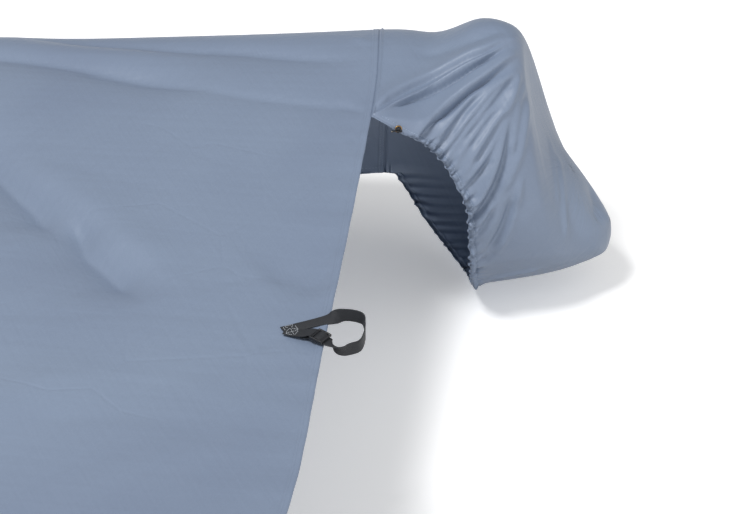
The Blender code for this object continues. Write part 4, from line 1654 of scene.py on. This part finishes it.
    def beads(self, s: np.ndarray) -> tuple[np.ndarray, np.ndarray]:
        """How the elastic bunches its channel: round beads with sharp nips, and smaller ones.

        Args:
            s: Length of hem to each column.

        Returns:
            The beads' height and the smaller ones', by column.
        """
        wander = s + 0.0050 * np.sin(s / 0.021) + 0.0026 * np.sin(s / 0.0093 + 1.0)
        size = 0.72 + 0.28 * np.sin(s / 0.0171 + 0.6)
        bead = size * (2.0 * np.abs(np.sin(np.pi * wander / self.bead_pitch)) ** 0.65 - 1.05)
        shift = wander + 0.002 * np.sin(s / 0.004)
        return bead, np.sin(2.0 * np.pi * shift / self.small_pitch + 0.9)

    def facing(self, grid: np.ndarray, side: int) -> np.ndarray:
        """Outward normals of the cloth.

        Args:
            grid: Points of the cloth, rows by columns by 3.
            side: The side of the boat, 1 or -1.

        Returns:
            Normals in the grid's shape.
        """
        normal = grid_normals(grid, True)
        middle = np.array([self.seam_x + self.end.value * 0.1, side * FORM.hull_y, self.centre])
        return normal * np.sign((normal * (grid - middle)).sum(axis=-1).mean())

    def build(self) -> bpy.types.Object:
        """Make the hood.

        Returns:
            Its cloth.
        """
        grid, t, s = self.paths()
        normal = self.facing(grid, 1)
        grid = grid + normal * self.rise(grid, normal, t, s)[..., None]
        grid[..., 1] *= self.side
        angle = np.arctan2(self.side * grid[..., 1] - FORM.hull_y, grid[..., 2] - self.centre)
        flat = np.stack([grid[..., 0], angle * self.radius], axis=-1)
        outward = self.facing(grid, self.side)
        way = 1 if (outward * grid_normals(grid, True)).sum() > 0.0 else -1
        cloth = enter(cloth_sheet(f"{self.node}_cloth", grid[:, ::way], flat[:, ::way],
                                  self.thickness, True), self.node)
        sewn = s > self.sewn_from
        stitches = CHANNEL_STITCH.row(grid[self.sewn_row][sewn], outward[self.sewn_row][sewn])
        thread = enter(link_mesh(f"{self.node}_stitching", stitches, THREAD_FINISH))
        return cloth


# ---------------------------------------------------------------- strap
@dataclass
class Webbing:
    """A length of flat webbing along stations, each a place and the turn of the webbing."""

    node: str
    stations: tuple[tuple[float, float, float, float], ...]
    width: float = 0.020
    thickness: float = 0.0016
    steps: int = 14
    sewn: tuple[tuple[float, float], ...] = ()      # where boxes are sewn: from, to
    sewn_in: float = 0.0022

    def frames(self) -> tuple[np.ndarray, np.ndarray, np.ndarray]:
        """Run the webbing along its stations.

        Returns:
            Middle of each cross-section, and the directions of its width and thickness.
        """
        table = np.array(self.stations) * (MM, MM, MM, 1.0)
        at = np.linspace(0.0, len(table) - 1.0, (len(table) - 1) * self.steps + 1)
        rows = blend_rows(table, at)
        ahead = np.gradient(rows[:, :3], axis=0)
        ahead /= np.linalg.norm(ahead, axis=1, keepdims=True)
        level = np.cross([0.0, 0.0, 1.0], ahead)
        level /= np.linalg.norm(level, axis=1, keepdims=True)
        upright = np.cross(ahead, level)
        turn = np.radians(rows[:, 3])[:, None]
        width = level * np.cos(turn) + upright * np.sin(turn)
        thick = np.cross(ahead, width)
        return rows[:, :3], width, thick / np.linalg.norm(thick, axis=1, keepdims=True)

    def build(self) -> bpy.types.Object:
        """Make the webbing.

        Returns:
            The webbing.
        """
        middle, width, thick = self.frames()
        half = [(-0.5, 0.0), (-0.485, 0.36), (-0.44, 0.5), (-0.2, 0.5), (0.0, 0.5), (0.2, 0.5),
                (0.44, 0.5), (0.485, 0.36)]
        section = half + [(-across, -up) for across, up in half]
        grid = np.stack([middle + width * (across * self.width) + thick * (up * self.thickness)
                         for across, up in section], axis=1)
        flat = np.stack(np.broadcast_arrays(
            travelled(middle)[:, None], np.array(section)[:, 0] * self.width), axis=-1)
        count, sides = grid.shape[:2]
        faces = quads(count, sides, True)
        faces += [tuple(range(sides)), tuple(count * sides - 1 - i for i in range(sides))]
        piece = link_mesh(f"{self.node}_webbing", (grid.reshape(-1, 3), faces), WEBBING_FINISH,
                          flat.reshape(-1, 2))
        enter(piece, self.node)
        for number, (start, end) in enumerate(self.sewn):
            self.sew_box(start, end, f"{self.node}_stitching_{number}")
        return piece

    def sew_box(self, start: float, end: float, name: str) -> bpy.types.Object:
        """Sew a box with a cross through the webbing.

        Args:
            start: Distance from the webbing's first end to the box.
            end: Distance to the box's far end.
            name: The thread's name.

        Returns:
            The thread.
        """
        middle, width, thick = self.frames()
        table = np.concatenate([middle, width, thick], axis=1)
        edge = self.width / 2 - self.sewn_in
        corners = [(start, -edge), (end, -edge), (end, edge), (start, edge)]
        legs = [(0, 1), (1, 2), (2, 3), (3, 0), (0, 2), (1, 3)]
        parts = []
        for first, last in legs:
            spots = np.linspace(corners[first], corners[last], 24)
            rows = along(table, spots[:, 0])
            line = rows[:, :3] + rows[:, 3:6] * spots[:, 1:] + rows[:, 6:] * self.thickness / 2
            parts.append(BOX_STITCH.row(line, rows[:, 6:]))
        return enter(link_mesh(name, joined(parts), PALE_THREAD_FINISH))


# Stations of the two straps' middles: X, Y and Z in mm, and the turn of the webbing in degrees.
LONG_STRAP = (
    (1650, -12, 2.3, 0), (1672, 1.2, 2.3, 0), (1694, 14.2, 2.6, 0), (1711, 21.5, 4, 14),
    (1719, 24, 7, 50), (1729, 24.5, 10.5, 85), (1744, 23.5, 11.2, 90), (1757, 19.5, 9.5, 90),
    (1761.8, 10, 3, 90), (1762.5, -4, -5, 90), (1758, -17, -11, 90), (1746, -25.5, -12.2, 90),
    (1736.5, -33, -10, 75), (1728.5, -38, -3.5, 40), (1720, -39, 3.5, 8),
    # Under the buckle's aft bar, over its toothed bar and under its forward bar.
    (1712.1, -35.4, 5.5, 0), (1708.7, -33.7, 8.7, 0), (1704.8, -31.7, 11.7, 0),
    (1700.3, -29.3, 10.1, 0), (1696.2, -27.3, 7.9, 0), (1689.7, -24, 5.5, 0), (1680, -19.5, 3, 0),
)
SHORT_STRAP = (
    (1654, -14, 4.4, 0), (1666, -18.5, 4.8, 0), (1680, -23, 7.5, 0), (1690, -25.5, 11.2, 0),
    (1696.5, -28.5, 12.8, 0),
)


# ---------------------------------------------------------------- small parts
def round_box(centre: Sequence[float], size: Sequence[float], power: float = 0.30,
              tilt: float = 0.0) -> Shape:
    """A block with well rounded edges.

    Args:
        centre: Its middle.
        size: Its length, width and height.
        power: How round its edges are: near 0 sharp, 1 an egg.
        tilt: Its turn about Y, in radians.

    Returns:
        The block.
    """
    around = np.linspace(0.0, 2.0 * np.pi, 32, endpoint=False)[None, :]
    rise = np.linspace(-0.5, 0.5, 17)[1:-1, None] * np.pi

    def rounded(values: np.ndarray) -> np.ndarray:
        """Draw a sine or cosine out to the block's faces."""
        return np.sign(values) * np.abs(values) ** power

    ring = rounded(np.cos(rise))
    points = np.stack(np.broadcast_arrays(ring * rounded(np.cos(around)),
                                          ring * rounded(np.sin(around)),
                                          rounded(np.sin(rise))), axis=-1) / 2 * np.array(size)
    c, s = math.cos(tilt), math.sin(tilt)
    turned = points @ np.array([[c, 0.0, -s], [0.0, 1.0, 0.0], [s, 0.0, c]]) + np.array(centre)
    return turned.reshape(-1, 3), capped_quads(*turned.shape[:2])


def tube(path: np.ndarray, radius: float) -> Shape:
    """A round cord along a path, closed at both ends.

    Args:
        path: Points of its middle.
        radius: Its radius.

    Returns:
        The cord.
    """
    ahead = np.gradient(path, axis=0)
    ahead /= np.linalg.norm(ahead, axis=1, keepdims=True)
    side = np.cross(ahead[0], [0.3, 0.5, 0.8])
    turn = np.linspace(0.0, 2.0 * np.pi, CORD_SIDES, endpoint=False)[:, None]
    rings = []
    for place, way in zip(path, ahead):
        side = side - way * (side @ way)
        side /= np.linalg.norm(side)
        rings.append(place + radius * (np.cos(turn) * side + np.sin(turn) * np.cross(way, side)))
    return np.concatenate(rings), capped_quads(len(path), CORD_SIDES)


@dataclass
class LadderLock:
    """The strap's buckle: two side rails and three bars, moulded in one."""

    node: str = "strap_buckle"
    at: tuple[float, float, float] = (1.7045, -0.0315, 0.0092)
    dip: float = math.radians(8.0)
    turn: float = math.radians(-27.0)
    length: float = 0.0216
    width: float = 0.0256
    rail: float = 0.0028
    height: float = 0.0046
    grain: float = 0.00032          # size of the blocks that the shapes are fused in
    # The bar that the strap is sewn round, the toothed one, and the one with the thumb lip: place
    # along and above, length and height, and how round.
    bars: tuple[tuple[float, ...], ...] = (
        (-0.0087, 0.0, 0.0038, 0.0034, 0.5), (0.0, -0.0002, 0.0058, 0.0030, 0.35),
        (0.0087, 0.0001, 0.0042, 0.0034, 0.5))
    teeth: tuple[float, ...] = (-0.0019, 0.0, 0.0019)
    tooth_size: tuple[float, float] = (0.0010, 0.0012)
    tooth_gap: float = 0.001        # from a tooth's end to the rail
    lip_at: float = 0.0096
    lip_size: tuple[float, float] = (0.0030, 0.0016)
    lip_share: float = 0.72         # its width, of the gap between the rails
    lip_tilt: float = -0.3
    on_bars: float = 0.0015         # height of teeth and lip above the bars' middle

    def build(self) -> bpy.types.Object:
        """Make the buckle.

        Returns:
            The buckle.
        """
        side = (self.width - self.rail) / 2
        inner = self.width - self.rail
        parts = [round_box((0.0, sign * side, 0.0), (self.length, self.rail, self.height))
                 for sign in (-1.0, 1.0)]
        parts += [round_box((x, 0.0, z), (length, inner, height), power)
                  for x, z, length, height, power in self.bars]
        length, height = self.tooth_size
        parts += [round_box((x, 0.0, self.on_bars), (length, inner - 2.0 * self.tooth_gap, height),
                            0.5) for x in self.teeth]
        length, height = self.lip_size
        parts.append(round_box((self.lip_at, 0.0, self.on_bars),
                               (length, inner * self.lip_share, height), 0.5, self.lip_tilt))
        place = Matrix.Translation(self.at) @ Matrix.Rotation(self.turn, 4, "Z") @ Matrix.Rotation(
            self.dip, 4, "Y")
        rough = link_mesh("buckle_shapes", joined(parts), BUCKLE_FINISH)
        fuse = rough.modifiers.new("fuse", "REMESH")
        fuse.mode, fuse.voxel_size = "VOXEL", self.grain
        ease_off = rough.modifiers.new("ease", "SMOOTH")
        ease_off.factor, ease_off.iterations = 0.5, 4
        fused = bpy.data.meshes.new_from_object(
            rough.evaluated_get(bpy.context.evaluated_depsgraph_get()))
        bpy.data.objects.remove(rough)
        fused.transform(place)
        fused.polygons.foreach_set("use_smooth", [True] * len(fused.polygons))
        piece = bpy.data.objects.new("ladder_lock", fused)
        fused.materials.clear()
        fused.materials.append(BUCKLE_FINISH.material())
        bpy.context.scene.collection.objects.link(piece)
        return enter(piece, self.node)


@dataclass
class CordEnd:
    """A brass eyelet in a stern hood's hem and the elastic cord's end, knotted outside it."""

    name: str
    side: int
    cord: float = 0.0016
    knot: float = 0.0040            # from the knot's middle to the middle of its outer loops
    stand: float = 0.0048           # from the eyelet to the knot's middle
    tail: float = 0.0130            # from the knot's middle to the cord's end
    core: float = 0.74              # radius of the rubber in the sleeve, of the cord's
    ring_steps: int = 40
    # Section of the rolled eyelet: radius and height, in mm.
    roll: tuple[tuple[float, float], ...] = (
        (3.7, -1.5), (3.75, 0.1), (3.95, 0.8), (4.4, 1.15), (5.0, 1.2), (5.6, 0.95), (6.0, 0.45),
        (6.15, -0.15), (6.0, -0.6), (5.4, -0.75), (4.6, -0.7), (4.2, -1.0), (4.0, -1.5))

    def frame(self) -> tuple[np.ndarray, np.ndarray]:
        """Find the eyelet in the frame.

        Returns:
            Its middle, and its directions forward, across and out of the cloth.
        """
        ring = np.array([tuple(v.co) for v in
                         bpy.data.objects[f"cord_eyelet_{self.name}"].data.vertices])
        middle = ring.mean(axis=0)
        out = np.linalg.svd(ring - middle)[2][2]
        away = middle - np.array([middle[0], self.side * FORM.hull_y, -0.1])
        out = out * np.sign(out @ away)
        ahead = np.array([-1.0, 0.0, 0.0]) - out * -out[0]
        ahead /= np.linalg.norm(ahead)
        return middle, np.stack([ahead, np.cross(out, ahead), out])

    def build(self) -> bpy.types.Object:
        """Make the eyelet, the knot and the cord's cut end.

        Returns:
            The knotted cord.
        """
        middle, axes = self.frame()
        steps = self.ring_steps
        turn = np.linspace(0.0, 2.0 * np.pi, steps, endpoint=False)[:, None]
        roll = np.array(self.roll)[None] * MM
        ring = np.stack([roll[..., 0] * np.cos(turn), roll[..., 0] * np.sin(turn),
                         np.broadcast_to(roll[..., 1], (steps, roll.shape[1]))], axis=-1)
        count = ring.shape[1]
        faces = [tuple(v % (steps * count) for v in (a, d, c, b))
                 for a, b, c, d in quads(steps + 1, count, True)]
        eyelet = ring.reshape(-1, 3) @ axes + middle, faces
        enter(link_mesh(f"eyelet_{self.name}", eyelet, BRASS_FINISH),
              f"cord_eyelet_{self.name}")
        route = self.route()
        base = middle + axes[2] * self.stand
        knotted = tube(through(route, 150) @ axes + base, self.cord)
        cord = enter(link_mesh(f"cord_{self.name}", knotted, CORD_FINISH),
                     f"cord_knot_{self.name}")
        # The sleeve's cut end shows the pale rubber strands inside.
        way = (route[-1] - route[-2]) / np.linalg.norm(route[-1] - route[-2])
        core = route[-1] + np.array([[-0.0006], [0.0004]]) * way
        rubber = tube(core @ axes + base, self.cord * self.core)
        enter(link_mesh(f"cord_core_{self.name}", rubber, RUBBER_FINISH))
        return cord

    def route(self) -> np.ndarray:
        """Lead the cord out of the eyelet, round its knot and to its end.

        The overhand knot is a trefoil, opened at an outer loop, whose ends lead in and out.

        Returns:
            Points of its middle, forward, across and out from the knot's.
        """
        t = np.linspace(np.pi / 3 + 0.35, np.pi / 3 + 2 * np.pi - 0.30, 34)
        loop = self.knot / 3.0 * np.stack(
            [np.sin(t) + 2 * np.sin(2 * t), np.cos(t) - 2 * np.cos(2 * t), -1.5 * np.sin(3 * t)],
            axis=1)
        angle = -math.atan2(loop[-1, 1], loop[-1, 0])
        c, s = math.cos(angle), math.sin(angle)
        loop = loop @ np.array([[c, s, 0.0], [-s, c, 0.0], [0.0, 0.0, 1.0]])
        inward = [(0.0, 0.0, -self.stand - 0.0015), (0.0006, 0.0, -self.stand),
                  (0.0024, 0.0010, -0.0034)]
        outward = [(0.0072, 0.0002, 0.0010), (0.0102, 0.0, 0.0020),
                   (self.tail * 0.97, 0.0, self.tail * 0.24)]
        return np.concatenate([inward, loop, outward])


# ---------------------------------------------------------------- studio
@dataclass
class Studio:
    """Floor, soft lights and the camera."""

    azimuth: float = math.radians(6.2)
    elevation: float = math.radians(31.0)
    focal_px: float = 2592.0
    frame_px: tuple[int, int] = (740, 514)
    anchor: tuple[float, float, float] = (1.71, 0.0, 0.0)
    anchor_px: tuple[float, float] = (327.0, 330.0)
    depth: float = 3.6
    sensor_mm: float = 36.0
    room_light: float = 0.24        # the same from every side
    # What each side of the room adds: direction, and its light where it is faced squarely.
    room_sides: tuple[tuple[tuple[float, float, float], float], ...] = (
        ((0.0, -1.0, 0.0), 0.54), ((1.0, 0.0, 0.0), 0.40), ((-1.0, 0.0, 0.0), 0.22),
        ((0.7, -0.7, 0.0), 0.42))
    key_power: float = 178.0
    key_from: tuple[float, float] = (225.0, 65.0)   # azimuth from aft and elevation, degrees
    key_at: tuple[float, float, float] = (1.6, 0.4, 0.0)
    key_away: float = 5.0
    key_size: float = 1.2
    floor_half: float = 30.0
    floor_gap: float = 0.004        # from the cover's lowest point down to the floor

    def axes(self) -> tuple[Vector, Vector, Vector]:
        """Work out which way the camera is turned.

        Returns:
            Its right, up and backward directions.
        """
        a, e = self.azimuth, self.elevation
        back = Vector((math.sin(a) * math.cos(e), -math.cos(a) * math.cos(e), math.sin(e)))
        right = Vector((math.cos(a), math.sin(a), 0.0))
        return right, back.cross(right), back

    def build_camera(self) -> None:
        """Make the camera and set it as the scene's."""
        right, up, back = self.axes()
        width, height = self.frame_px
        off_x = (self.anchor_px[0] - width / 2) / self.focal_px * self.depth
        off_y = (height / 2 - self.anchor_px[1]) / self.focal_px * self.depth
        place = Vector(self.anchor) + back * self.depth - right * off_x - up * off_y
        lens = bpy.data.cameras.new("camera")
        lens.sensor_width = self.sensor_mm
        lens.lens = self.sensor_mm * self.focal_px / width
        lens.clip_end = 100.0
        camera = bpy.data.objects.new("camera", lens)
        matrix = Matrix((right, up, back)).transposed().to_4x4()
        matrix.translation = place
        camera.matrix_world = matrix
        bpy.context.scene.collection.objects.link(camera)
        bpy.context.scene.camera = camera

    def build_floor(self, lowest: float) -> None:
        """Lay the floor.

        Args:
            lowest: Height of the cover's lowest point.
        """
        half, height = self.floor_half, lowest - self.floor_gap
        corners = np.array([(-half, -half, height), (half, -half, height), (half, half, height),
                            (-half, half, height)])
        floor = link_mesh("studio_floor", (corners, [(0, 1, 2, 3)]), OpalFloor())
        floor.visible_diffuse = False       # the room alone lights what faces down
        floor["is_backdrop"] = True

    def build_key(self) -> None:
        """Hang the one soft square light and aim it at the cover."""
        aim = Vector(self.key_at)
        around, above = (math.radians(angle) for angle in self.key_from)
        toward = Vector((math.cos(around) * math.cos(above), math.sin(around) * math.cos(above),
                         math.sin(above)))
        lamp = bpy.data.lights.new("key", "AREA")
        lamp.size, lamp.energy = self.key_size, self.key_power
        key = bpy.data.objects.new("key", lamp)
        key.location = aim + toward * self.key_away
        key.rotation_euler = toward.to_track_quat("Z", "Y").to_euler()
        bpy.context.scene.collection.objects.link(key)

    def build_room(self) -> None:
        """Set the light of the room itself."""
        scene = bpy.context.scene
        world = bpy.data.worlds.new("studio")
        world.use_nodes = True
        tree = world.node_tree
        room = tree.nodes["Background"]
        room.inputs["Color"].default_value = (1.0, 1.0, 1.0, 1.0)
        toward = add_node(tree, "TexCoord").outputs["Generated"]
        total: bpy.types.NodeSocket | None = None
        for side, strength in self.room_sides:
            facing = add_node(tree, "VectorMath", {"operation": "DOT_PRODUCT", 1: side},
                              {0: toward})
            faced = add_node(tree, "Math", {"operation": "MAXIMUM", 1: 0.0},
                             {0: facing.outputs["Value"]})
            more = add_node(tree, "Math", {"operation": "MULTIPLY_ADD", 1: strength,
                                           2: self.room_light}, {0: faced})
            if total is not None:
                tree.links.new(total, more.inputs[2])
            total = more.outputs[0]
        tree.links.new(total, room.inputs["Strength"])
        scene.world = world
        scene.view_settings.view_transform = "Standard"


def main() -> None:
    """Build the cover's pieces in order, and the studio round them."""
    logging.basicConfig(level=logging.INFO, format="%(name)s: %(message)s")
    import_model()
    panel = MainPanel().build()
    LOG.info("made %s", panel.name)
    for hood in (Hood("stern_hood_starboard", End.STERN, 1, STERN_CREASES),
                 Hood("stern_hood_port", End.STERN, -1, PORT_CREASES, 0.6),
                 Hood("bow_hood_starboard", End.BOW, 1, (), 0.5, -20.0),
                 Hood("bow_hood_port", End.BOW, -1, (), 0.5, -20.0)):
        LOG.info("made %s", hood.build().name)
    for part in (Webbing("strap_long", LONG_STRAP, sewn=((0.003, 0.020),)),
                 Webbing("strap_short", SHORT_STRAP, sewn=((0.003, 0.018),)), LadderLock(),
                 CordEnd("starboard", 1), CordEnd("port", -1)):
        LOG.info("made %s", part.build().name)
    studio = Studio()
    studio.build_camera()
    studio.build_floor(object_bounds()[0][2])
    studio.build_key()
    studio.build_room()


if __name__ == "__main__":
    main()
